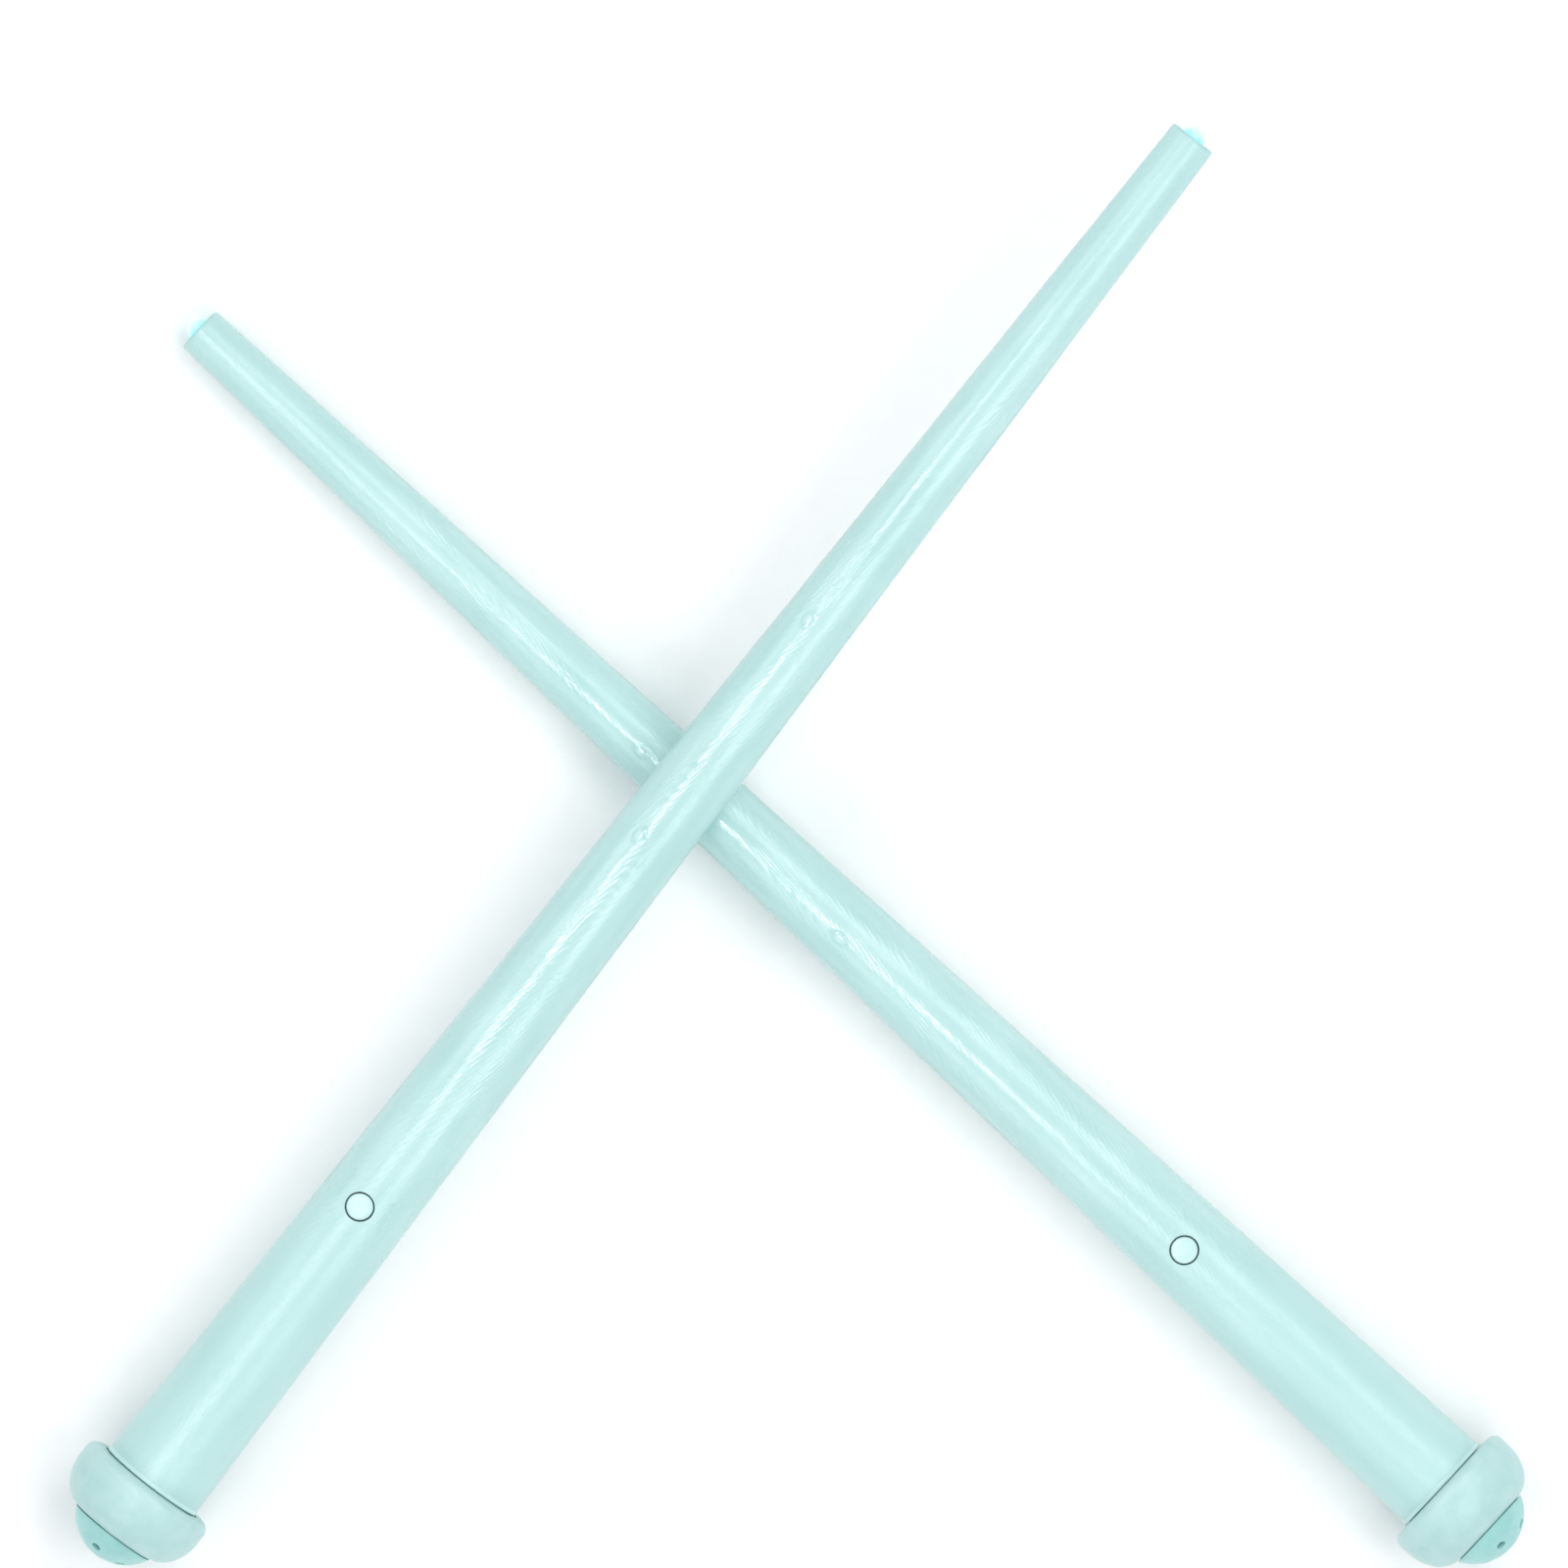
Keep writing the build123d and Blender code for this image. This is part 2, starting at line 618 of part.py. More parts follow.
negative_plate_x = HOLDER_START + HOLDER_END_WALL + RUNNING_GAP
positive_plate_x = HOLDER_END - HOLDER_END_WALL - CONTACT_THICKNESS - RUNNING_GAP
with BuildPart() as positive_contact:
    add(contact_plate(positive_plate_x, POSITIVE_TAIL_Y))
    # Raised centre that meets the last cell
    cells_end = CELL_START + CELL_COUNT * CELL_THICKNESS
    add(disc(cells_end, positive_plate_x, CONTACT_BUTTON_RADIUS, z=CELL_AXIS_Z))
positive_contact.part.label = "positive_contact"

spring_start = negative_plate_x + CONTACT_THICKNESS + SPRING_WIRE_RADIUS * 0.6
spring_length = CELL_START - SPRING_WIRE_RADIUS * 1.1 - spring_start
with BuildPart() as negative_spring:
    with BuildLine() as coil:
        Helix(
            pitch=SPRING_PITCH,
            height=spring_length,
            radius=SPRING_RADIUS,
            center=(spring_start, 0, CELL_AXIS_Z),
            direction=(1, 0, 0),
            cone_angle=SPRING_CONE,
        )
    coil_wire = coil.wires()[0]
    with BuildSketch(Plane(origin=coil_wire @ 0, z_dir=coil_wire % 0)):
        Circle(SPRING_WIRE_RADIUS)
    sweep(path=coil_wire, is_frenet=True)
    add(contact_plate(negative_plate_x, NEGATIVE_TAIL_Y))
negative_spring.part.label = "negative_spring"

# Circuit board and what is on it

board_middle = (BOARD_START + BOARD_END) / 2
with BuildPart() as circuit_board:
    with BuildSketch(Plane.XY.offset(BOARD_BOTTOM)):
        with Locations((board_middle, 0)):
            RectangleRounded(BOARD_END - BOARD_START, BOARD_WIDTH, radius=1.0)
        with Locations([(x, 0) for x in BOARD_SCREW_XS]):
            Circle(CLEARANCE_RADIUS, mode=Mode.SUBTRACT)
    extrude(amount=BOARD_THICKNESS)
circuit_board.part.label = "circuit_board"

with BuildPart() as board_screws:
    for x in BOARD_SCREW_XS:
        add(screw(x, BOARD_BOTTOM, BOARD_SCREW_TIP, head_side=-1))
board_screws.part.label = "board_screws"

with BuildPart() as switch_body:
    with Locations((BUTTON_X, 0, BOARD_TOP + SWITCH_HEIGHT / 2)):
        Box(SWITCH_SIDE, SWITCH_SIDE, SWITCH_HEIGHT)
    chamfer(switch_body.edges().filter_by(Axis.Z), length=0.5)
    for side in (-1, 1):
        for end in (-1, 1):
            with Locations((BUTTON_X + end * 2.25, side * (SWITCH_SIDE / 2 + 0.5), BOARD_TOP + 0.1)):
                Box(0.7, 1.4, 0.2)
    add(
        column(BUTTON_X, 0, PLUNGER_RADIUS + RUNNING_GAP, PLUNGER_WELL_BOTTOM, 6),
        mode=Mode.SUBTRACT,
    )
switch_body.part.label = "switch_body"

with BuildPart() as switch_plunger:
    add(column(BUTTON_X, 0, PLUNGER_RADIUS, PLUNGER_BOTTOM, PLUNGER_TOP))
    fillet(switch_plunger.edges().sort_by(Axis.Z)[-1], radius=0.2)
switch_plunger.part.label = "switch_plunger"

with BuildPart() as push_button:
    add(column(BUTTON_X, 0, BUTTON_RADIUS, BUTTON_FLANGE_TOP, BUTTON_TOP))
    fillet(push_button.edges().sort_by(Axis.Z)[-1], radius=0.45)
    flange_bottom = BUTTON_FLANGE_TOP - BUTTON_FLANGE
    add(column(BUTTON_X, 0, BUTTON_FLANGE_RADIUS, flange_bottom, BUTTON_FLANGE_TOP))
    add(column(BUTTON_X, 0, BUTTON_STEM_RADIUS, PLUNGER_TOP, flange_bottom))
push_button.part.label = "push_button"

BLOB_X, BLOB_RADIUS, BLOB_HEIGHT = 86.0, 3.2, 1.3
blob_sphere = (BLOB_RADIUS**2 + BLOB_HEIGHT**2) / (2 * BLOB_HEIGHT)
with BuildPart() as chip_blob:
    with Locations((BLOB_X, 0, BOARD_BOTTOM - BLOB_HEIGHT + blob_sphere)):
        Sphere(blob_sphere)
    add(slab((70, 100), (-6, 6), (-4, BOARD_BOTTOM)), mode=Mode.INTERSECT)
chip_blob.part.label = "chip_blob"

RESISTOR_X, RESISTOR_LENGTH, RESISTOR_RADIUS, RESISTOR_SPAN = 96.5, 3.4, 0.9, 3.2
resistor_z = BOARD_TOP + RESISTOR_RADIUS + 0.1
with BuildPart() as resistor:
    with BuildLine() as leads:
        FilletPolyline(
            (RESISTOR_X, -RESISTOR_SPAN, BOARD_TOP),
            (RESISTOR_X, -RESISTOR_SPAN, resistor_z),
            (RESISTOR_X, RESISTOR_SPAN, resistor_z),
            (RESISTOR_X, RESISTOR_SPAN, BOARD_TOP),
            radius=0.6,
        )
    with BuildSketch(Plane.XY.offset(BOARD_TOP)):
        with Locations((RESISTOR_X, -RESISTOR_SPAN)):
            Circle(LEAD_RADIUS)
    sweep(path=leads.wires()[0])
    with BuildSketch(Plane.XZ.offset(-RESISTOR_LENGTH / 2)):
        with Locations((RESISTOR_X, resistor_z)):
            Circle(RESISTOR_RADIUS)
    extrude(amount=RESISTOR_LENGTH)
resistor.part.label = "resistor"

CAPACITOR_X, CAPACITOR_RADIUS, CAPACITOR_HEIGHT = 77.0, 2.0, 5.0
with BuildPart() as capacitor:
    add(column(CAPACITOR_X, 0, CAPACITOR_RADIUS, BOARD_TOP, BOARD_TOP + CAPACITOR_HEIGHT))
    fillet(capacitor.edges().filter_by(GeomType.CIRCLE), radius=0.3)
capacitor.part.label = "capacitor"

# LED, its bush, leads and sleeves

with BuildPart() as tip_bush:
    add(disc(LED_FLANGE_END, BUSH_END, BUSH_RADIUS, bore=BUSH_BORE))
tip_bush.part.label = "tip_bush"

with BuildPart() as tip_led:
    add(disc(LED_FLANGE_START, LED_FLANGE_END, LED_FLANGE_RADIUS))
    add(disc(LED_FLANGE_END, TOTAL_LENGTH - LED_RADIUS, LED_RADIUS))
    with Locations((TOTAL_LENGTH - LED_RADIUS, 0, 0)):
        Sphere(LED_RADIUS)
tip_led.part.label = "tip_led"

with BuildPart() as led_leads:
    for side in (-1, 1):
        add(disc(LEAD_START, LED_FLANGE_START, LEAD_RADIUS, y=side * LEAD_Y))
led_leads.part.label = "led_leads"

with BuildPart() as lead_sleeves:
    for side in (-1, 1):
        add(disc(SLEEVE_START, SLEEVE_END, SLEEVE_RADIUS, y=side * LEAD_Y, bore=WIRE_RADIUS + 0.04))
lead_sleeves.part.label = "lead_sleeves"


# Wires: down each side of the screw bosses to the LED, and over the holder to speaker and cells

def led_route(side):
    """One LED wire; it passes every boss on its own side and closes in at the LED."""
    return [
        (100.0, side * 3.3, WIRE_Z),
        (107.0, side * 3.9, WIRE_Z + 0.1),
        (116.0, side * 4.6, 0.4),
        (140.0, side * 4.3, 0.9),
        (170.0, side * 3.6, -0.6 * side),
        (200.0, side * 4.1, 0.2),
        (228.0, side * 3.5, 0.8),
        (256.0, side * 3.6, -0.4),
        (284.0, side * 3.75, 0.1),
        (304.0, side * 2.6, 0.3),
        (322.0, side * 1.4, 0.15),
        (330.0, side * LEAD_Y, 0.0),
        (LEAD_START, side * LEAD_Y, 0.0),
    ]


with BuildPart() as led_wire_positive:
    add(wire(led_route(1)))
led_wire_positive.part.label = "led_wire_positive"

with BuildPart() as led_wire_negative:
    add(wire(led_route(-1)))
led_wire_negative.part.label = "led_wire_negative"

speaker_routes = [
    [
        (SPEAKER_END + 0.25, -5.2, 2.0),
        (17.0, -4.9, 3.6),
        (24.0, -3.4, 6.2),
        (32.0, -2.9, 6.8),
        (42.0, -2.6, 6.85),
        (52.0, -2.9, 6.6),
        (58.0, -3.6, 4.0),
        (64.0, -4.3, 1.6),
        (71.0, -4.4, WIRE_Z),
    ],
    [
        (SPEAKER_END + 0.25, -4.6, 3.4),
        (17.0, -3.6, 4.8),
        (24.0, -1.9, 6.6),
        (32.0, -1.5, 6.95),
        (42.0, -1.2, 6.9),
        (52.0, -1.6, 6.7),
        (58.0, -2.2, 4.2),
        (63.0, -2.9, 1.9),
        (66.8, -3.0, WIRE_Z),
    ],
]
with BuildPart() as speaker_wires:
    for route in speaker_routes:
        add(wire(route))
speaker_wires.part.label = "speaker_wires"

battery_routes = [
    [
        (negative_plate_x + CONTACT_THICKNESS + 0.02, NEGATIVE_TAIL_Y, 6.8),
        (36.0, 1.0, 6.95),
        (44.0, 0.7, 6.85),
        (52.5, 0.9, 6.7),
        (58.0, 1.9, 4.0),
        (63.0, 2.9, 1.8),
        (66.8, 3.0, WIRE_Z),
    ],
    [
        (positive_plate_x + CONTACT_THICKNESS + 0.02, POSITIVE_TAIL_Y, 6.3),
        (55.0, 3.4, 5.8),
        (60.0, 4.1, 3.4),
        (65.0, 4.4, 1.5),
        (71.0, 4.45, WIRE_Z),
    ],
]
with BuildPart() as battery_wires:
    for route in battery_routes:
        add(wire(route))
battery_wires.part.label = "battery_wires"

# How the sticks lie: the lower one on its collar and tip, the upper one on its collar and on it

pieces = [
    front_shell,
    rear_shell,
    pommel_ring,
    pommel_dome,
    push_button,
    tip_bush,
    tip_led,
    led_leads,
    lead_sleeves,
    shell_screws,
    circuit_board,
    board_screws,
    switch_body,
    switch_plunger,
    chip_blob,
    resistor,
    capacitor,
    speaker_frame,
    speaker_cone,
    speaker_magnet,
    battery_holder,
    button_cells,
    positive_contact,
    negative_spring,
    battery_door,
    door_screw,
    led_wire_positive,
    led_wire_negative,
    speaker_wires,
    battery_wires,
]


def crossing_distances():
    """How far along each stick the two axes cross, seen from above."""
    upper_way = (cos(radians(UPPER_HEADING)), sin(radians(UPPER_HEADING)))
    lower_way = (cos(radians(LOWER_HEADING)), sin(radians(LOWER_HEADING)))
    dx = LOWER_POLE[0] - UPPER_POLE[0]
    dy = LOWER_POLE[1] - UPPER_POLE[1]
    cross = upper_way[0] * lower_way[1] - upper_way[1] * lower_way[0]
    along_upper = (dx * lower_way[1] - dy * lower_way[0]) / cross
    along_lower = (dx * upper_way[1] - dy * upper_way[0]) / cross
    return along_upper, along_lower


crest_middle = (COLLAR_CREST_START + COLLAR_CREST_END) / 2
upper_crossing, lower_crossing = crossing_distances()
lower_drop = atan((COLLAR_RADIUS - SHAFT_END_RADIUS) / (SHAFT_END - crest_middle))
lower_axis_height = COLLAR_RADIUS - (lower_crossing - crest_middle) * sin(lower_drop)
upper_axis_height = (
    lower_axis_height
    + shaft_radius(lower_crossing)
    + shaft_radius(upper_crossing)
    + CROSSING_GAP
)
upper_rise = atan((upper_axis_height - COLLAR_RADIUS) / (upper_crossing - crest_middle))


def lying(pole, heading, nose_down):
    """Placement of a stick on its collar, with its nose down by an angle in radians."""
    height = COLLAR_RADIUS / cos(nose_down) + crest_middle * sin(nose_down)
    place = Pos(pole[0], pole[1], height) * Rot(Z=heading)
    return place * Rot(Y=degrees(nose_down)) * Rot(X=-ROLL_TO_LEFT)


placements = {
    "upper": lying(UPPER_POLE, UPPER_HEADING, -upper_rise),
    "lower": lying(LOWER_POLE, LOWER_HEADING, lower_drop),
}
outer_pieces = (front_shell, rear_shell, pommel_ring, pommel_dome, tip_led)
corners = [
    piece.part.moved(place).bounding_box()
    for place in placements.values()
    for piece in outer_pieces
]
low = [min(tuple(box.min)[k] for box in corners) for k in range(3)]
high = [max(tuple(box.max)[k] for box in corners) for k in range(3)]
to_origin = Pos(-(low[0] + high[0]) / 2, -(low[1] + high[1]) / 2, -low[2])

for stick, place in placements.items():
    for piece in pieces:
        placed = piece.part.moved(to_origin * place)
        placed.label = f"{stick}_{piece.part.label}"
        export_step(placed, f"parts/{placed.label}.step")
    frame = to_origin * place
    print(stick, "place", frame.position, frame.orientation)
print("overall size", [high[k] - low[k] for k in range(3)])
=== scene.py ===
"""A crossed pair of light-up sticks in pale aqua plastic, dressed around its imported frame.

Shapes are worked out in each stick's own frame, in millimetres: +X from the pole of the end cap
to the LED, +Z out through the push button. They are then placed in the row frame, in metres.
"""

import json
import math

import bmesh
import bpy
import numpy as np
from mathutils import Matrix, Vector


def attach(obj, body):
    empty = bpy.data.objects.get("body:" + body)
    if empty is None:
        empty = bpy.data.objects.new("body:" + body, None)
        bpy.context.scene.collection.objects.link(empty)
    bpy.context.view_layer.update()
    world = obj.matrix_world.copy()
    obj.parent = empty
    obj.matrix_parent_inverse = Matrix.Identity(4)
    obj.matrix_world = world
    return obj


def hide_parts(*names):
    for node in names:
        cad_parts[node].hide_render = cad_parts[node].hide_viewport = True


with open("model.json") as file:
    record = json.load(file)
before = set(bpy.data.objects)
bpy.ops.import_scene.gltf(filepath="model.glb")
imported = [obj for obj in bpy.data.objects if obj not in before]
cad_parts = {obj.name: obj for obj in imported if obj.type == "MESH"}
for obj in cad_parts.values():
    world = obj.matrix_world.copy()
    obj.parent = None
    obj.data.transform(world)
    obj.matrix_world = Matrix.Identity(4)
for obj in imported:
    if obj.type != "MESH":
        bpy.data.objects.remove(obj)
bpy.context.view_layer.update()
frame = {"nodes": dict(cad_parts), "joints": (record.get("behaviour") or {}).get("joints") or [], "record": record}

STICKS = ("upper", "lower")
MM = 0.001

# Outline of a stick, as in the CAD
TOTAL_LENGTH = 355.6
SHAFT_START, SHAFT_END = 18.2, 353.3
SHAFT_START_RADIUS, SHAFT_END_RADIUS = 10.73, 4.95
LIP_RADIUS, LIP_LENGTH, LIP_FOOT = 10.95, 0.3, 19.3
SPIGOT_RADIUS = 9.75
CAP_RADIUS, CAP_WALL, CAP_DEPTH = 10.0, 1.4, 5.65
CAP_SKIRT_RADIUS, CAP_SKIRT_END = 7.55, 9.0
COLLAR_START, COLLAR_END, COLLAR_RADIUS = 5.9, 18.0, 14.65
COLLAR_CREST = (14.2, 16.0)
COLLAR_CURVE_HEIGHT, COLLAR_CORNER = 6.05, 2.0
COLLAR_FACE_INNER, COLLAR_RELIEF = 11.25, 0.3
COLLAR_FLANGE_END = 8.0
SOUND_HOLES, SOUND_HOLE_RADIUS = 5, 0.92
SOUND_HOLE_TILT, SOUND_HOLE_TURN = 34.0, 3.5
BUTTON_X, BUTTON_RADIUS, BUTTON_TOP = 87.0, 2.65, 9.5
FACE_MOUNT_AT = (18.0, 11.9, 0.0)
LED_RADIUS, LED_FLANGE_RADIUS = 2.5, 2.95
LED_FLANGE = (346.2, 347.2)

# Wood grain moulded into the shaft: fine lines that wind slowly round it and part at the knots
GRAIN_LINES = 80
GRAIN_SLANT = 0.36
GRAIN_DEPTH = 0.15
GRAIN_START, GRAIN_FULL, GRAIN_FADE, GRAIN_END = 60.0, 118.0, 285.0, 335.0
KNOTS = ((178.4, 10.5), (232.4, 10.5))
KNOT_RADIUS = 0.95
SEAM_DEPTH, SEAM_HALF_WIDTH = 0.22, 0.42
AROUND = 384
FINE_STEP, COARSE_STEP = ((0.52, 1.4))


# ---------------------------------------------------------------- stick frames

def stick_matrix(stick):
    """Stick frame in mm to row frame in m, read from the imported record's mounts and joints."""
    mount = next(m for m in frame["record"]["mounts"] if m["name"] == f"{stick}_collar_face")
    press = next(j for j in frame["joints"] if j["name"] == f"{stick}_button_press")
    along = Vector(mount["axis"]).normalized()
    up = -Vector(press["axis"]).normalized()
    left = up.cross(along).normalized()
    up = along.cross(left)
    turn = Matrix((along, left, up)).transposed()
    origin = Vector(mount["pos_m"]) - turn @ (Vector(FACE_MOUNT_AT) * MM)
    return Matrix.Translation(origin) @ turn.to_4x4() @ Matrix.Scale(MM, 4)


PLACE = {stick: stick_matrix(stick) for stick in STICKS}


# ---------------------------------------------------------------- mesh helpers

def make_piece(name, points, faces, smooth_angle=35.0):
    """Mesh object from stick-frame points; not placed yet."""
    mesh = bpy.data.meshes.new(name)
    mesh.from_pydata([tuple(p) for p in points], [], [tuple(f) for f in faces])
    mesh.update()
    piece = bpy.data.objects.new(name, mesh)
    bpy.context.scene.collection.objects.link(piece)
    tidy_mesh(mesh, smooth_angle)
    return piece


def tidy_mesh(mesh, smooth_angle):
    """Outward normals, and smooth shading broken at edges sharper than smooth_angle degrees."""
    bm = bmesh.new()
    bm.from_mesh(mesh)
    bmesh.ops.recalc_face_normals(bm, faces=bm.faces)
    limit = math.radians(smooth_angle)
    for face in bm.faces:
        face.smooth = True
    for edge in bm.edges:
        edge.smooth = len(edge.link_faces) == 2 and edge.calc_face_angle(0.0) < limit
    bm.to_mesh(mesh)
    bm.free()


def settle(piece, stick, body, *nodes):
    """Place a finished piece, let it ride on its body and stand for its CAD nodes."""
    piece.data.transform(PLACE[stick])
    piece.data.update()
    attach(piece, f"{stick}_{body}")
    if nodes:
        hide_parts(*[f"{stick}_{node}" for node in nodes])
    return piece


def dress(piece, material):
    """Give a piece its one material."""
    piece.data.materials.clear()
    piece.data.materials.append(material)
    piece.data.polygons.foreach_set("material_index", [0] * len(piece.data.polygons))


def lathe(name, profile, segments=144, closed=True, smooth_angle=35.0, radius_change=None):
    """Turn (x, radius) points about the stick's axis. Points on the axis become poles."""
    points, faces, rings = [], [], []
    turns = [2 * math.pi * k / segments for k in range(segments)]
    for x, radius in profile:
        if radius < 1e-6:
            rings.append([len(points)])
            points.append((x, 0.0, 0.0))
            continue
        rings.append(list(range(len(points), len(points) + segments)))
        for turn in turns:
            r = radius + (radius_change(x, turn) if radius_change else 0.0)
            points.append((x, r * math.sin(turn), r * math.cos(turn)))
    pairs = list(zip(rings, rings[1:]))
    if closed:
        pairs.append((rings[-1], rings[0]))
    for a, b in pairs:
        if len(a) == 1 and len(b) == 1:
            continue
        for k in range(segments):
            n = (k + 1) % segments
            if len(a) == 1:
                faces.append((a[0], b[k], b[n]))
            elif len(b) == 1:
                faces.append((a[k], b[0], a[n]))
            else:
                faces.append((a[k], b[k], b[n], a[n]))
    return make_piece(name, points, faces, smooth_angle)


def arc(centre, radii, start, end, count):
    """Points on an elliptic arc, in degrees from the stick's axis."""
    angles = np.radians(np.linspace(start, end, count))
    return [(centre[0] + radii[0] * math.cos(a), centre[1] + radii[1] * math.sin(a)) for a in angles]


def boolean(piece, other, operation):
    """Apply a boolean with another piece, which is then removed."""
    modifier = piece.modifiers.new("cut", "BOOLEAN")
    modifier.operation = operation
    modifier.solver = "MANIFOLD"
    modifier.object = other
    bpy.context.view_layer.update()
    graph = bpy.context.evaluated_depsgraph_get()
    result = bpy.data.meshes.new_from_object(piece.evaluated_get(graph))
    piece.modifiers.clear()
    old = piece.data
    piece.data = result
    bpy.data.meshes.remove(old)
    bpy.data.objects.remove(other)


def cad_copy(stick, node, name):
    """Welded copy of a CAD node in its stick's frame, free to be reshaped."""
    mesh = frame["nodes"][f"{stick}_{node}"].data.copy()
    mesh.name = name
    mesh.materials.clear()
    mesh.transform(PLACE[stick].inverted())
    bm = bmesh.new()
    bm.from_mesh(mesh)
    bmesh.ops.remove_doubles(bm, verts=bm.verts, dist=0.0015)
    bm.to_mesh(mesh)
    bm.free()
    for attribute in [a.name for a in mesh.attributes if a.name == "custom_normal"]:
        mesh.attributes.remove(mesh.attributes[attribute])
    piece = bpy.data.objects.new(name, mesh)
    bpy.context.scene.collection.objects.link(piece)
    return piece


# ---------------------------------------------------------------- grain relief

def hashed(i, j, k, seed):
    """Repeatable value from -1 to 1 for each whole-number lattice point."""
    h = (i * 374761393 + j * 668265263 + k * 2147483647 + seed * 974634777) & 0xFFFFFFFF
    h = ((h ^ (h >> 13)) * 1274126177) & 0xFFFFFFFF
    h = (h ^ (h >> 16)) & 0xFFFFFF
    return h / float(0x7FFFFF) - 1.0


def noise(p, seed):
    """Smooth value noise at an array of points."""
    cell = np.floor(p).astype(np.int64)
    f = p - cell
    w = f * f * f * (f * (f * 6 - 15) + 10)
    total = 0.0
    for corner in range(8):
        bits = [(corner >> axis) & 1 for axis in range(3)]
        weight = 1.0
        for axis, bit in enumerate(bits):
            weight = weight * (w[..., axis] if bit else 1 - w[..., axis])
        total = total + weight * hashed(*[cell[..., a] + bits[a] for a in range(3)], seed)
    return total


def smoothstep(low, high, x):
    t = np.clip((x - low) / (high - low), 0, 1)
    return t * t * (3 - 2 * t)


def shaft_radius(x):
    share = (x - SHAFT_START) / (SHAFT_END - SHAFT_START)
    return SHAFT_START_RADIUS + share * (SHAFT_END_RADIUS - SHAFT_START_RADIUS)


def grain_depth(x, turn, radius, seed):
    """How far the surface lies under the plain taper, in mm. turn is from the button, leftwards."""
    across, upward = np.sin(turn), np.cos(turn)

    def field(length, width, number):
        scaled = np.stack([x / length, across * 8 / width, upward * 8 / width], axis=-1)
        return noise(scaled, seed + number)

    strength = smoothstep(GRAIN_START, GRAIN_FULL, x) * (1 - smoothstep(GRAIN_FADE, GRAIN_END, x))
    strength = 0.35 + 0.65 * strength
    patches = 0.25 + 0.75 * smoothstep(-0.40, 0.35, field(24, 5.0, 1))
    bend = 2.2 * field(21, 4.6, 2) + 0.9 * field(9, 2.6, 3) + 0.30 * field(4.0, 1.4, 4)
    knots, calm = 0.0, 1.0
    for knot_x, knot_turn in KNOTS:
        dx = x - knot_x
        ds = (np.mod(turn - math.radians(knot_turn) + math.pi, 2 * math.pi) - math.pi) * radius
        away = np.hypot(dx / 1.35, ds)
        bend = bend + 1.5 * np.exp(-((dx / 5.5) ** 2)) * np.tanh(ds / 0.5) * np.exp(-np.abs(ds) / 2.4)
        calm = calm * (1 - np.exp(-((away / (KNOT_RADIUS * 1.7)) ** 4)))
        dome = 0.9 * np.sqrt(np.clip(1 - (away / KNOT_RADIUS) ** 2, 0, 1))
        rim = -0.8 * np.exp(-(((away - KNOT_RADIUS * 1.22) / 0.28) ** 2))
        knots = knots + dome + rim
    phase = turn * GRAIN_LINES / (2 * math.pi) + GRAIN_SLANT * x + bend
    ridges = 0.5 + 0.5 * np.cos(2 * math.pi * phase)
    broken = 0.45 + 0.55 * smoothstep(-0.5, 0.2, field(6.5, 0.8, 5))
    swell = field(11, 2.4, 6)
    height = strength * calm * (0.5 * ridges * patches * broken + 0.22 * swell) + 0.55 * knots
    return GRAIN_DEPTH * np.clip(0.8 - height, 0.02, 1.9)


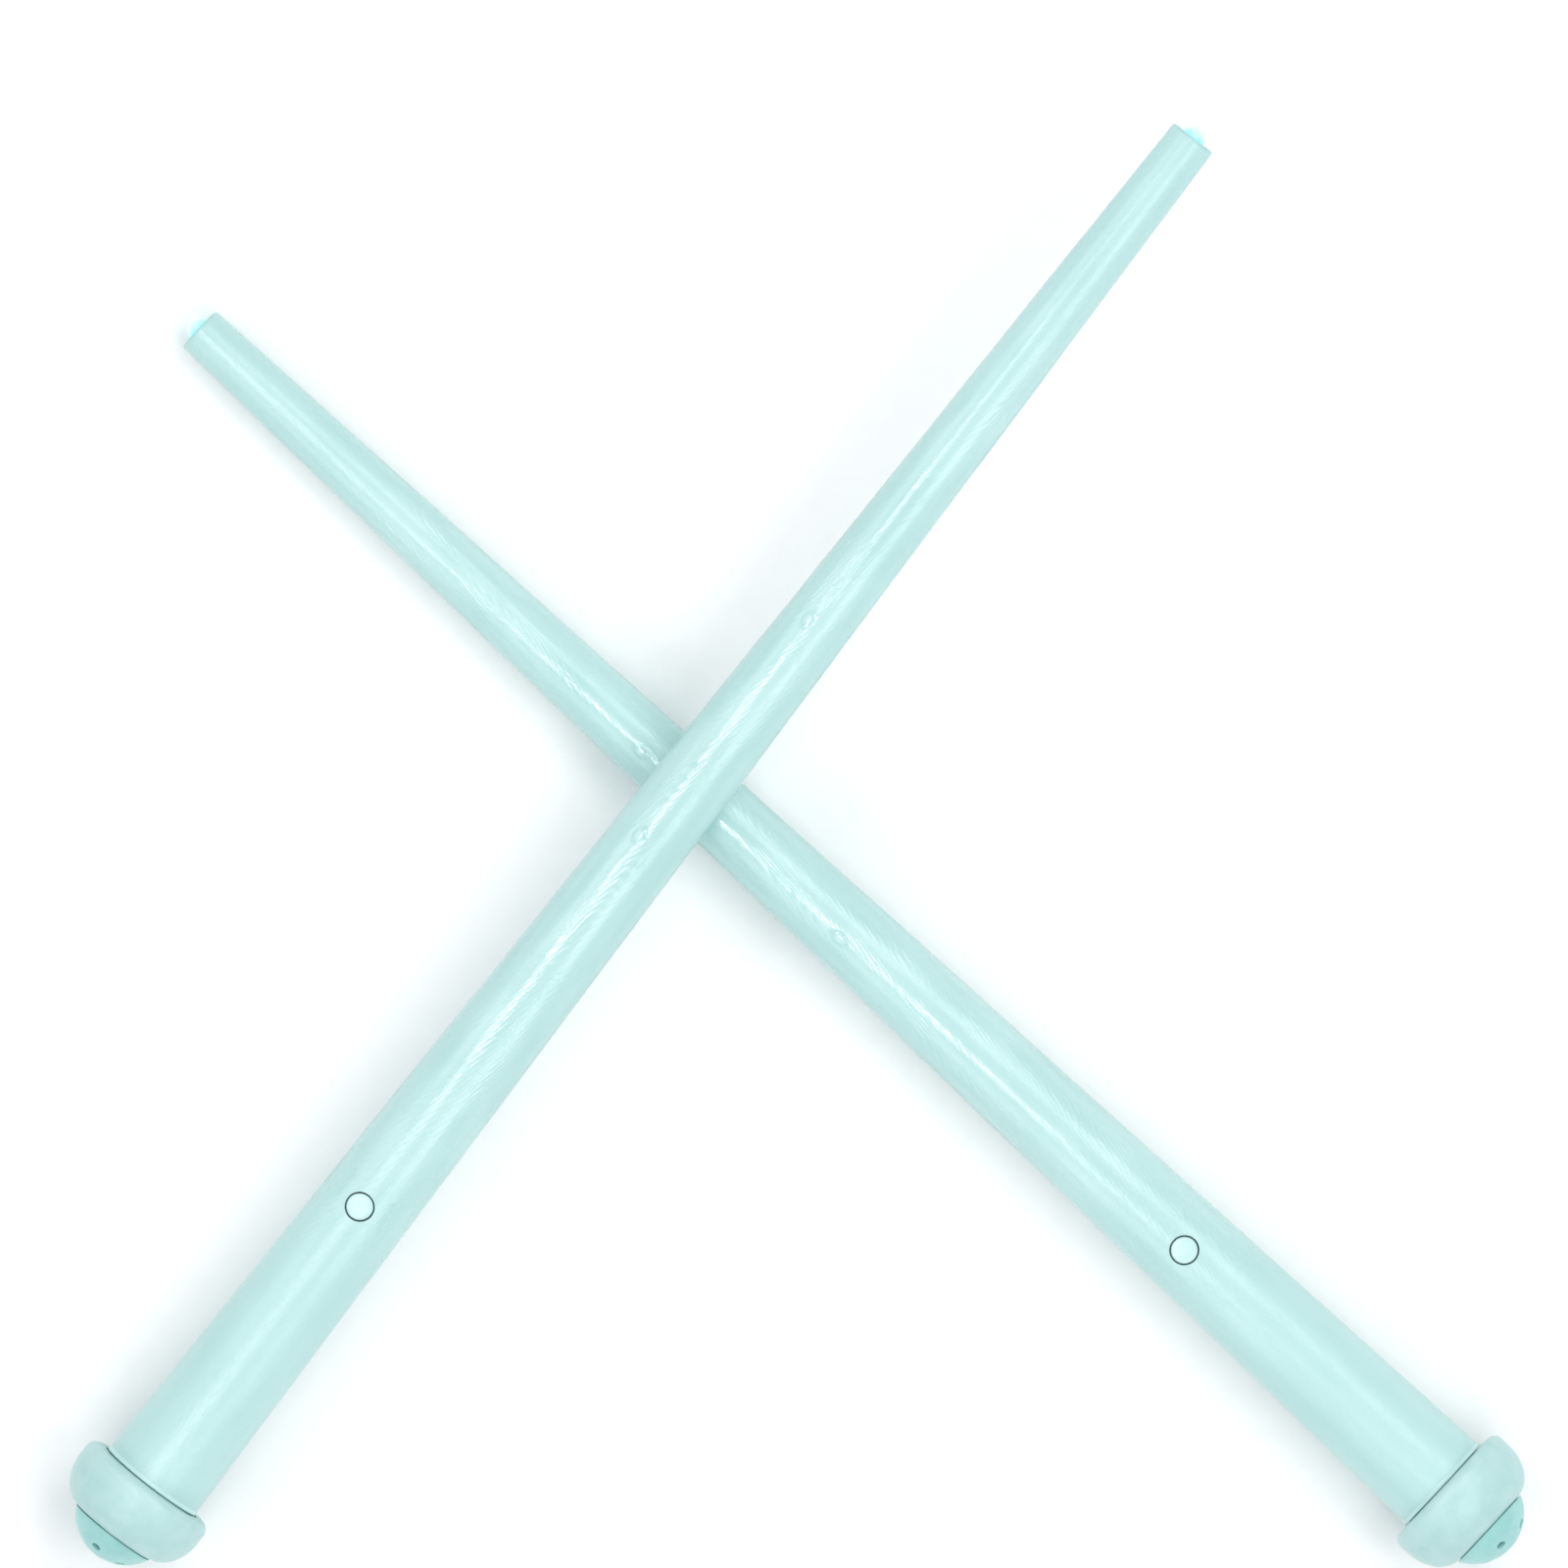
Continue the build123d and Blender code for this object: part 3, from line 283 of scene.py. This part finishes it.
def relief_solid(stick, seed):
    """Closed solid that carries the grained outer surface and clears everything behind it."""
    lip_end = SHAFT_START + LIP_LENGTH
    shaft_xs = np.concatenate([
        np.arange(LIP_FOOT + 0.4, GRAIN_START + 15, COARSE_STEP),
        np.arange(GRAIN_START + 15, GRAIN_END - 25, FINE_STEP),
        np.arange(GRAIN_END - 25, SHAFT_END - 0.8, COARSE_STEP),
    ])
    flare = np.linspace(lip_end, LIP_FOOT, 6)
    head = [4.0, SHAFT_START - 0.12, SHAFT_START, SHAFT_START + 0.12, *flare]
    tail = [SHAFT_END - 0.6, SHAFT_END - 0.3, SHAFT_END - 0.12, SHAFT_END, SHAFT_END + 0.2, SHAFT_END + 3]
    xs = np.array(head + list(shaft_xs) + tail)
    base = shaft_radius(xs)
    base[:4] = [12.2, 12.2, LIP_RADIUS - 0.16, LIP_RADIUS - 0.04]
    fall = smoothstep(lip_end, LIP_FOOT, flare)
    base[4:10] = (1 - fall) * (LIP_RADIUS - 0.04) + fall * (shaft_radius(LIP_FOOT) - 0.02)
    base[-6:] -= [0.0, 0.05, 0.15, 0.34, 0.6, 0.6]
    turns = 2 * math.pi * (np.arange(AROUND) + 0.5) / AROUND
    x, turn = np.meshgrid(xs, turns, indexing="ij")
    radius = np.repeat(base[:, None], AROUND, axis=1)
    on_shaft = (xs > lip_end + 0.01) & (xs <= SHAFT_END)
    depth = grain_depth(x[on_shaft], turn[on_shaft], radius[on_shaft], seed)
    radius[on_shaft] -= depth
    # Parting line between the half shells, a quarter turn each side of the button
    on_stick = (xs > SHAFT_START - 0.01) & (xs <= SHAFT_END + 0.01)
    from_seam = np.abs(np.abs(np.mod(turn[on_stick] + math.pi, 2 * math.pi) - math.pi) - math.pi / 2)
    from_seam = from_seam * radius[on_stick]
    radius[on_stick] -= SEAM_DEPTH * np.clip(1 - from_seam / SEAM_HALF_WIDTH, 0, 1) ** 1.5
    points = np.stack([x, radius * np.sin(turn), radius * np.cos(turn)], axis=-1).reshape(-1, 3)
    rows, faces = len(xs), []
    ring = np.arange(AROUND)
    following = np.roll(ring, -1)
    for k in range(rows - 1):
        a, b = k * AROUND, (k + 1) * AROUND
        faces.append(np.stack([a + ring, a + following, b + following, b + ring], axis=-1))
    faces = np.concatenate(faces).tolist()
    faces.append(list(range(AROUND))[::-1])
    faces.append([(rows - 1) * AROUND + k for k in range(AROUND)])
    mesh = bpy.data.meshes.new(f"{stick}_relief")
    mesh.from_pydata(points.tolist(), [], faces)
    mesh.update()
    solid = bpy.data.objects.new(f"{stick}_relief", mesh)
    bpy.context.scene.collection.objects.link(solid)
    tidy_mesh(mesh, 35.0)
    return solid


def raise_outer_skin(piece):
    """Lift the facets of the copy's outer skin clear of the relief, which then sets the surface."""
    for vertex in piece.data.vertices:
        x, y, z = vertex.co
        radius = math.hypot(y, z)
        if x < SHAFT_START - 0.05:
            continue
        plain = LIP_RADIUS if x < SHAFT_START + LIP_LENGTH + 0.05 else shaft_radius(x)
        if radius > plain - 0.16:
            vertex.co.y *= (radius + 0.3) / radius
            vertex.co.z *= (radius + 0.3) / radius


def grained(stick, node, name, seed):
    """A shell or door whose outer skin carries the moulded wood grain."""
    piece = cad_copy(stick, node, name)
    raise_outer_skin(piece)
    boolean(piece, relief_solid(stick, seed), "INTERSECT")
    tidy_mesh(piece.data, 38.0)
    return piece


# ---------------------------------------------------------------- materials

def node_material(name):
    material = bpy.data.materials.new(name)
    material.use_nodes = True
    tree = material.node_tree
    shader = tree.nodes["Principled BSDF"]
    return material, tree, shader


def stick_coordinates(tree, stick):
    """Stick-frame coordinates in mm, from the object's own row-frame coordinates."""
    coordinates = tree.nodes.new("ShaderNodeTexCoord")
    mapping = tree.nodes.new("ShaderNodeMapping")
    mapping.vector_type = "TEXTURE"
    location, turn, _ = PLACE[stick].decompose()
    mapping.inputs["Location"].default_value = location
    mapping.inputs["Rotation"].default_value = turn.to_euler()
    mapping.inputs["Scale"].default_value = (MM, MM, MM)
    tree.links.new(coordinates.outputs["Object"], mapping.inputs["Vector"])
    return mapping.outputs["Vector"]


def untwisted(tree, vector):
    """Stick coordinates turned back along the stick, so that lengthwise fibres follow the grain's slant."""
    parts = tree.nodes.new("ShaderNodeSeparateXYZ")
    tree.links.new(vector, parts.inputs[0])
    node = tree.nodes.new("ShaderNodeVectorRotate")
    node.rotation_type = "X_AXIS"
    tree.links.new(vector, node.inputs["Vector"])
    twist = -GRAIN_SLANT * 2 * math.pi / GRAIN_LINES
    tree.links.new(add_values(tree, parts.outputs["X"], twist, "MULTIPLY"), node.inputs["Angle"])
    return node.outputs["Vector"]


def stretched(tree, vector, scale):
    node = tree.nodes.new("ShaderNodeVectorMath")
    node.operation = "MULTIPLY"
    node.inputs[1].default_value = scale
    tree.links.new(vector, node.inputs[0])
    return node.outputs[0]


def noise_node(tree, vector, scale, detail=3.0, roughness=0.5, distortion=0.0):
    node = tree.nodes.new("ShaderNodeTexNoise")
    node.inputs["Scale"].default_value = scale
    node.inputs["Detail"].default_value = detail
    node.inputs["Roughness"].default_value = roughness
    node.inputs["Distortion"].default_value = distortion
    tree.links.new(vector, node.inputs["Vector"])
    return node.outputs["Fac"]


def ramp_node(tree, factor, stops):
    node = tree.nodes.new("ShaderNodeValToRGB")
    elements = node.color_ramp.elements
    while len(elements) < len(stops):
        elements.new(0.5)
    for element, (position, colour) in zip(elements, stops):
        element.position = position
        element.color = (*colour, 1.0)
    tree.links.new(factor, node.inputs["Fac"])
    return node.outputs["Color"]


def range_node(tree, value, low, high, source=(0.0, 1.0)):
    node = tree.nodes.new("ShaderNodeMapRange")
    node.inputs["From Min"].default_value = source[0]
    node.inputs["From Max"].default_value = source[1]
    node.inputs["To Min"].default_value = low
    node.inputs["To Max"].default_value = high
    tree.links.new(value, node.inputs["Value"])
    return node.outputs["Result"]


def mix_colours(tree, factor, first, second, blend="MIX"):
    node = tree.nodes.new("ShaderNodeMix")
    node.data_type = "RGBA"
    node.blend_type = blend
    for socket, value in (("Factor", factor), ("A", first), ("B", second)):
        index = {"Factor": 0, "A": 6, "B": 7}[socket]
        if isinstance(value, bpy.types.NodeSocket):
            tree.links.new(value, node.inputs[index])
        elif socket == "Factor":
            node.inputs[index].default_value = value
        else:
            node.inputs[index].default_value = (*value, 1.0)
    return node.outputs[2]


def add_values(tree, first, second, operation="ADD"):
    node = tree.nodes.new("ShaderNodeMath")
    node.operation = operation
    for index, value in enumerate((first, second)):
        if isinstance(value, bpy.types.NodeSocket):
            tree.links.new(value, node.inputs[index])
        else:
            node.inputs[index].default_value = value
    return node.outputs[0]


def bump(tree, shader, height, distance, strength=1.0):
    node = tree.nodes.new("ShaderNodeBump")
    node.inputs["Distance"].default_value = distance
    node.inputs["Strength"].default_value = strength
    tree.links.new(height, node.inputs["Height"])
    tree.links.new(node.outputs["Normal"], shader.inputs["Normal"])


def linear(*srgb):
    """Linear colour from 0 to 255 sRGB."""
    return tuple(c / 12.92 if c <= 0.04045 else ((c + 0.055) / 1.055) ** 2.4 for c in [v / 255 for v in srgb])


AQUA = linear(186, 221, 220)
AQUA_PALE = linear(194, 227, 226)
# Painted shade for the hollows of the moulded grain on the shaft, used as a colour.
GRAIN_HOLLOW_SHADE = linear(158, 203, 201)
COLLAR_AQUA = linear(178, 213, 212)
COLLAR_DEEP = linear(168, 207, 206)
CAP_TEAL = linear(158, 211, 208)
CAP_DEEP = linear(145, 201, 198)


def relief_share(tree, place):
    """How deep the real surface lies under the plain taper: 0 on the ridges, 1 deep in the grain. Used as the mask
    for the painted shade in the grain's hollows.
    """
    parts = tree.nodes.new("ShaderNodeSeparateXYZ")
    tree.links.new(place, parts.inputs[0])
    outwards = tree.nodes.new("ShaderNodeVectorMath")
    outwards.operation = "LENGTH"
    tree.links.new(stretched(tree, place, (0.0, 1.0, 1.0)), outwards.inputs[0])
    slope = (SHAFT_END_RADIUS - SHAFT_START_RADIUS) / (SHAFT_END - SHAFT_START)
    taper = add_values(tree, parts.outputs["X"], slope, "MULTIPLY")
    plain = add_values(tree, taper, SHAFT_START_RADIUS - slope * SHAFT_START)
    depth = add_values(tree, plain, outwards.outputs["Value"], "SUBTRACT")
    return range_node(tree, depth, 0.0, 1.0, (0.035, 0.185))


def along_stick(tree, place, stops):
    """A value that changes along the stick, from (position in mm, value) stops."""
    parts = tree.nodes.new("ShaderNodeSeparateXYZ")
    tree.links.new(place, parts.inputs[0])
    share = range_node(tree, parts.outputs["X"], 0.0, 1.0, (0.0, TOTAL_LENGTH))
    return ramp_node(tree, share, [(x / TOTAL_LENGTH, (value,) * 3) for x, value in stops])


def moulded_plastic(name, stick, light, deep, roughness, scuffed=0.08):
    """Smooth glossy moulded plastic with slightly mottled colour and uneven gloss."""
    material, tree, shader = node_material(name)
    place = stick_coordinates(tree, stick)
    cloud = noise_node(tree, place, 0.22, 3.0, 0.55)
    tree.links.new(ramp_node(tree, cloud, [(0.32, deep), (0.62, light)]), shader.inputs["Base Color"])
    scuffs = noise_node(tree, place, 1.1, 4.0, 0.65)
    rough = range_node(tree, scuffs, roughness - scuffed / 2, roughness + scuffed, (0.3, 0.75))
    tree.links.new(rough, shader.inputs["Roughness"])
    ripple = noise_node(tree, place, 0.55, 2.0, 0.45)
    bump(tree, shader, ripple, 0.00011)
    shader.inputs["IOR"].default_value = 1.5
    return material


def grained_plastic(name, stick):
    """Shaft plastic: painted shade down in the grain's hollows, satin handle and tip, glossy middle, fine fibres.
    """
    material, tree, shader = node_material(name)
    place = stick_coordinates(tree, stick)
    cloud = noise_node(tree, stretched(tree, place, (0.03, 0.12, 0.12)), 1.0, 3.0, 0.55)
    colour = ramp_node(tree, cloud, [(0.3, AQUA), (0.65, AQUA_PALE)])
    # Painted shade: the colour darkens towards the hollow shade colour where the surface lies deep in the grain.
    hollow_shade = relief_share(tree, place)
    colour = mix_colours(tree, add_values(tree, hollow_shade, 0.75, "MULTIPLY"), colour, GRAIN_HOLLOW_SHADE)
    tree.links.new(colour, shader.inputs["Base Color"])
    slanted = untwisted(tree, place)
    fibre = noise_node(tree, stretched(tree, slanted, (0.25, 2.6, 2.6)), 1.0, 3.0, 0.6)
    scratch = noise_node(tree, stretched(tree, slanted, (0.5, 3.4, 3.4)), 1.0, 2.0, 0.5, 0.6)
    gloss = along_stick(tree, place, [(60.0, 0.33), (128.0, 0.17), (275.0, 0.17), (330.0, 0.27)])
    tree.links.new(
        add_values(tree, gloss, range_node(tree, scratch, -0.03, 0.07, (0.3, 0.75))),
        shader.inputs["Roughness"],
    )
    scratches = add_values(tree, range_node(tree, scratch, 0.0, 1.0, (0.60, 0.68)), 0.5, "MULTIPLY")
    bump(tree, shader, add_values(tree, fibre, scratches), 0.00003)
    shader.inputs["IOR"].default_value = 1.5
    return material


def plain_material(name, colour, roughness, metallic=0.0, deep=None, scale=900.0, bump_mm=0.02, stretch=None):
    """Material of a small inner piece: mottled colour, uneven gloss and a fine surface."""
    material, tree, shader = node_material(name)
    coordinates = tree.nodes.new("ShaderNodeTexCoord").outputs["Object"]
    if stretch:
        coordinates = stretched(tree, coordinates, stretch)
    fine = noise_node(tree, coordinates, scale, 4.0, 0.6)
    broad = noise_node(tree, coordinates, scale * 0.22, 2.0, 0.5)
    dark = deep or tuple(c * 0.72 for c in colour)
    tree.links.new(ramp_node(tree, broad, [(0.32, dark), (0.62, colour)]), shader.inputs["Base Color"])
    tree.links.new(
        range_node(tree, fine, roughness * 0.75, roughness * 1.3, (0.3, 0.7)),
        shader.inputs["Roughness"],
    )
    shader.inputs["Metallic"].default_value = metallic
    bump(tree, shader, fine, bump_mm * MM)
    return material


def led_material(stick):
    """Clear resin lit from within: cyan all over, paling to near white at the end of the dome."""
    material, tree, shader = node_material(f"{stick}_led_resin")
    place = stick_coordinates(tree, stick)
    parts = tree.nodes.new("ShaderNodeSeparateXYZ")
    tree.links.new(place, parts.inputs[0])
    towards_tip = range_node(tree, parts.outputs["X"], 0.0, 1.0, (348.0, TOTAL_LENGTH - 1.0))
    glow = ramp_node(
        tree, towards_tip, [(0.0, (0.03, 0.42, 0.75)), (0.7, (0.08, 0.62, 1.0)), (1.0, (0.55, 0.93, 1.0))]
    )
    swirl = noise_node(tree, place, 0.9, 2.0, 0.5)
    tree.links.new(glow, shader.inputs["Emission Color"])
    brightness = add_values(
        tree, range_node(tree, towards_tip, 0.8, 1.3), range_node(tree, swirl, 0.9, 1.1), "MULTIPLY"
    )
    tree.links.new(brightness, shader.inputs["Emission Strength"])
    shader.inputs["Base Color"].default_value = (0.05, 0.25, 0.33, 1.0)
    tree.links.new(range_node(tree, swirl, 0.04, 0.12), shader.inputs["Roughness"])
    bump(tree, shader, swirl, 0.00001)
    shader.inputs["Coat Weight"].default_value = 0.5
    return material


# ---------------------------------------------------------------- outer pieces

def collar_profile():
    inner = COLLAR_RADIUS - COLLAR_CURVE_HEIGHT
    bore = SPIGOT_RADIUS
    flange = CAP_SKIRT_RADIUS + 0.05
    shoulder = arc(
        (COLLAR_CREST[0], inner), (COLLAR_CREST[0] - COLLAR_START, COLLAR_CURVE_HEIGHT), 180, 90, 40
    )
    corner = arc((COLLAR_CREST[1], COLLAR_RADIUS - COLLAR_CORNER), (COLLAR_CORNER, COLLAR_CORNER), 90, 0, 14)
    inner_face = COLLAR_END - COLLAR_RELIEF
    return (
        [(COLLAR_START, flange + 0.1), (COLLAR_START, inner - 0.35)]
        + shoulder[1:]
        + corner[:-1]
        + [(COLLAR_END, COLLAR_RADIUS - COLLAR_CORNER)]
        + [(COLLAR_END, COLLAR_FACE_INNER + 0.1), (COLLAR_END - 0.1, COLLAR_FACE_INNER)]
        + [(inner_face, COLLAR_FACE_INNER), (inner_face, bore + 0.08), (inner_face - 0.08, bore)]
        + [(COLLAR_FLANGE_END, bore), (COLLAR_FLANGE_END, flange), (COLLAR_START + 0.1, flange)]
    )


def collar_waviness(seed):
    """Very slight sink marks of a thick moulding."""
    def change(x, turn):
        p = np.array([x / 6.0, math.sin(turn) * 2.2, math.cos(turn) * 2.2])
        return 0.05 * (float(noise(p, seed)) - 1.0)
    return change


def make_collar(stick, seed):
    piece = lathe(f"{stick}_collar", collar_profile(), 192, radius_change=collar_waviness(seed))
    return settle(piece, stick, "stick", "pommel_ring")


def make_cap(stick):
    """End cap with sound holes whose rims are eased."""
    outer_end = math.degrees(math.acos((CAP_RADIUS - CAP_DEPTH) / CAP_RADIUS))
    inner_radius = CAP_RADIUS - CAP_WALL
    skirt_inner = CAP_SKIRT_RADIUS - 1.2
    inner_end = math.degrees(math.asin(skirt_inner / inner_radius))
    outer = arc((CAP_RADIUS, 0), (-CAP_RADIUS, CAP_RADIUS), 0, outer_end - 1.2, 44)
    inner = arc((CAP_RADIUS, 0), (-inner_radius, inner_radius), inner_end, 0, 24)
    rim = math.sqrt(CAP_RADIUS**2 - (CAP_RADIUS - CAP_DEPTH) ** 2)
    seat = [(CAP_DEPTH - 0.05, rim - 0.02), (CAP_DEPTH, rim - 0.12), (CAP_DEPTH, 8.3), (COLLAR_START, 8.3)]
    skirt = [(COLLAR_START, CAP_SKIRT_RADIUS), (CAP_SKIRT_END - 0.2, CAP_SKIRT_RADIUS)]
    skirt += [(CAP_SKIRT_END, CAP_SKIRT_RADIUS - 0.2), (CAP_SKIRT_END, skirt_inner)]
    profile = outer + seat + skirt + inner
    profile[0] = (0.0, 0.0)
    profile[-1] = (CAP_WALL, 0.0)
    piece = lathe(f"{stick}_end_cap", profile, 168, closed=False)
    for number in range(SOUND_HOLES):
        turn = math.radians(SOUND_HOLE_TURN + number * 360 / SOUND_HOLES)
        tilt = math.radians(SOUND_HOLE_TILT)
        outwards = Vector((-math.cos(tilt), math.sin(tilt) * math.sin(turn), math.sin(tilt) * math.cos(turn)))
        r = SOUND_HOLE_RADIUS
        shape = [
            (CAP_RADIUS - 3, 0), (CAP_RADIUS - 3, r), (CAP_RADIUS - 0.3, r), (CAP_RADIUS - 0.08, r + 0.07)
        ]
        shape += [(CAP_RADIUS + 0.1, r + 0.28), (CAP_RADIUS + 1, r + 0.28), (CAP_RADIUS + 1, 0)]
        drill = lathe("drill", shape, 40, closed=False)
        drill.data.transform(Vector((1, 0, 0)).rotation_difference(outwards).to_matrix().to_4x4())
        drill.data.transform(Matrix.Translation((CAP_RADIUS, 0, 0)))
        boolean(piece, drill, "DIFFERENCE")
    tidy_mesh(piece.data, 30.0)
    return settle(piece, stick, "stick", "pommel_dome")


def make_button(stick):
    """Push button: slightly crowned top with an eased edge, a flange and a stem."""
    crown = [(BUTTON_TOP, 0.0), (BUTTON_TOP - 0.01, 0.8), (BUTTON_TOP - 0.04, 1.6), (BUTTON_TOP - 0.08, 2.15)]
    edge = arc((BUTTON_TOP - 0.5, BUTTON_RADIUS - 0.4), (0.4, 0.4), 0, 90, 8)
    lower = [
        (6.95, BUTTON_RADIUS), (6.8, BUTTON_RADIUS + 0.12), (6.8, 3.58), (6.68, 3.7), (6.12, 3.7), (6.0, 3.58)
    ]
    lower += [(6.0, 1.6), (5.6, 1.6), (5.5, 1.5), (5.5, 0.0)]
    piece = lathe(f"{stick}_button", crown + edge + lower, 96, closed=False, smooth_angle=40)
    piece.data.transform(Matrix.Rotation(-math.pi / 2, 4, "Y"))
    piece.data.transform(Matrix.Translation((BUTTON_X, 0, 0)))
    return settle(piece, stick, "button", "push_button")


def make_led(stick):
    """5 mm LED: flange, barrel and dome."""
    base = [
        (LED_FLANGE[0], 0.0),
        (LED_FLANGE[0], LED_FLANGE_RADIUS - 0.1),
        (LED_FLANGE[0] + 0.1, LED_FLANGE_RADIUS),
    ]
    base += [(LED_FLANGE[1] - 0.1, LED_FLANGE_RADIUS), (LED_FLANGE[1], LED_FLANGE_RADIUS - 0.1)]
    base += [(LED_FLANGE[1], LED_RADIUS)]
    centre = TOTAL_LENGTH - LED_RADIUS
    dome = arc((centre, 0), (LED_RADIUS, LED_RADIUS), 90, 0, 26)
    dome[-1] = (TOTAL_LENGTH, 0.0)
    piece = lathe(f"{stick}_led", base + dome, 96, closed=False)
    return settle(piece, stick, "stick", "tip_led")


SEEDS = {"upper": 11, "lower": 47}
for stick in STICKS:
    shaft = grained_plastic(f"{stick}_shaft_plastic", stick)
    collar = moulded_plastic(f"{stick}_collar_plastic", stick, COLLAR_AQUA, COLLAR_DEEP, 0.36)
    cap = moulded_plastic(f"{stick}_cap_plastic", stick, CAP_TEAL, CAP_DEEP, 0.34)
    button = moulded_plastic(f"{stick}_button_plastic", stick, AQUA_PALE, AQUA, 0.34)
    for node, name, body in (
        ("front_shell", "shaft_front", "stick"),
        ("rear_shell", "shaft_rear", "stick"),
        ("battery_door", "door", "battery_door"),
    ):
        piece = grained(stick, node, f"{stick}_{name}", SEEDS[stick])
        dress(settle(piece, stick, body, node), shaft)
    for piece, material, slot in (
        (make_collar(stick, SEEDS[stick]), collar, "collar_plastic"),
        (make_cap(stick), cap, "cap_plastic"),
        (make_button(stick), button, "button_plastic"),
        (make_led(stick), led_material(stick), "led_lens"),
    ):
        dress(piece, material)


# ---------------------------------------------------------------- inner pieces

INNER_MATERIALS = {
    "screw_steel": plain_material("screw_steel", (0.56, 0.57, 0.58), 0.3, 1.0, scale=1500),
    "white_plastic": plain_material("white_plastic", linear(226, 226, 220), 0.45),
    "black_plastic": plain_material("black_plastic", linear(34, 34, 36), 0.5),
    "tinned_wire": plain_material("tinned_wire", (0.72, 0.72, 0.7), 0.25, 1.0, scale=2500),
    "sleeve_rubber": plain_material("sleeve_rubber", linear(28, 28, 30), 0.62),
    "board_laminate": plain_material(
        "board_laminate", linear(30, 104, 52), 0.35, deep=linear(18, 76, 38), scale=600
    ),
    "chip_resin": plain_material("chip_resin", linear(20, 20, 22), 0.22, scale=400),
    "resistor_coat": plain_material("resistor_coat", linear(196, 164, 118), 0.4),
    "capacitor_can": plain_material("capacitor_can", (0.66, 0.66, 0.68), 0.28, 1.0, scale=1800),
    # The speaker film is coloured dark teal so the sound holes in the cap look dark: painted shade.
    "speaker_film": plain_material("speaker_film", linear(34, 52, 50), 0.5),
    "magnet_steel": plain_material("magnet_steel", (0.5, 0.5, 0.5), 0.3, 1.0),
    "cell_steel": plain_material("cell_steel", (0.74, 0.74, 0.73), 0.2, 1.0, scale=1300, bump_mm=0.006),
    "contact_steel": plain_material("contact_steel", (0.66, 0.64, 0.6), 0.28, 1.0, scale=1600),
    "wire_red": plain_material("wire_red", linear(190, 28, 24), 0.42),
    "wire_black": plain_material("wire_black", linear(26, 26, 28), 0.42),
    "wire_white": plain_material("wire_white", linear(222, 222, 216), 0.42),
    "wire_blue": plain_material("wire_blue", linear(34, 62, 150), 0.42),
}
slot_of = {s["node"]: s["material_slot"] for s in frame["record"]["subparts"]}
for name, node in frame["nodes"].items():
    if node.hide_render:
        continue
    node.data.materials.clear()
    node.data.materials.append(INNER_MATERIALS[slot_of[name]])


# ---------------------------------------------------------------- floor, light, camera

def make_floor():
    bpy.ops.mesh.primitive_plane_add(size=12.0, location=(0, 0, -0.0001))
    floor = bpy.context.object
    floor.name = "floor"
    material, tree, shader = node_material("floor_paper")
    coordinates = tree.nodes.new("ShaderNodeTexCoord").outputs["Object"]
    grain = noise_node(tree, coordinates, 260.0, 3.0, 0.5)
    paper = ramp_node(tree, grain, [(0.3, (0.94, 0.94, 0.94)), (0.7, (0.96, 0.96, 0.96))])
    tree.links.new(paper, shader.inputs["Base Color"])
    shader.inputs["Roughness"].default_value = 0.85
    shader.inputs["Specular IOR Level"].default_value = 0.1
    floor.data.materials.append(material)


def area_light(name, stick, tilt, distance, size, power, forward=0.0, glossy_only=False):
    """Soft box parallel to a stick, tilted from overhead towards the stick's left (right if negative)."""
    data = bpy.data.lights.new(name, "AREA")
    data.shape = "RECTANGLE"
    data.size, data.size_y = size
    data.energy = power
    along = PLACE[stick].to_3x3() @ Vector((1, 0, 0))
    along = Vector((along.x, along.y, 0)).normalized()
    left = Vector((-along.y, along.x, 0))
    upwards = Vector((0, 0, math.cos(math.radians(tilt)))) + left * math.sin(math.radians(tilt))
    light = bpy.data.objects.new(name, data)
    turn = Matrix((along, upwards.cross(along), upwards)).transposed()
    light.matrix_world = Matrix.Translation(upwards * distance + along * forward) @ turn.to_4x4()
    light.visible_camera = False
    light.visible_diffuse = not glossy_only
    bpy.context.scene.collection.objects.link(light)


def make_world():
    world = bpy.data.worlds.new("studio")
    bpy.context.scene.world = world
    world.use_nodes = True
    background = world.node_tree.nodes["Background"]
    background.inputs["Color"].default_value = (0.97, 0.985, 1.0, 1)
    background.inputs["Strength"].default_value = 0.72


STREAK_TILT, SHEEN_TILT, FILL_TILT, SIDE_TILT = 19.5, 34.0, 30.0, 50.0
CAMERA_HEIGHT = 5.0
VIEW_WIDTH = 0.3100
VIEW_CENTRE = (-0.0026, 0.0122)


def make_camera():
    data = bpy.data.cameras.new("camera")
    data.sensor_width = 36.0
    data.lens = data.sensor_width * CAMERA_HEIGHT / VIEW_WIDTH
    data.clip_start, data.clip_end = 0.05, 20.0
    camera = bpy.data.objects.new("camera", data)
    camera.location = (*VIEW_CENTRE, CAMERA_HEIGHT)
    bpy.context.scene.collection.objects.link(camera)
    bpy.context.scene.camera = camera


make_floor()
make_world()
for stick, forward in (("upper", -0.074), ("lower", 0.1025)):
    area_light(f"{stick}_streak", stick, STREAK_TILT, 1.1, (0.20, 0.035), 2.15, forward, True)
    area_light(f"{stick}_sheen", stick, -SHEEN_TILT, 1.1, (0.9, 0.5), 0.6, forward, True)
    area_light(f"{stick}_fill", stick, -FILL_TILT, 1.3, (0.7, 0.5), 3.8)
    area_light(f"{stick}_side", stick, SIDE_TILT, 1.3, (0.7, 0.5), 2.2)
make_camera()
bpy.context.scene.view_settings.view_transform = "Standard"
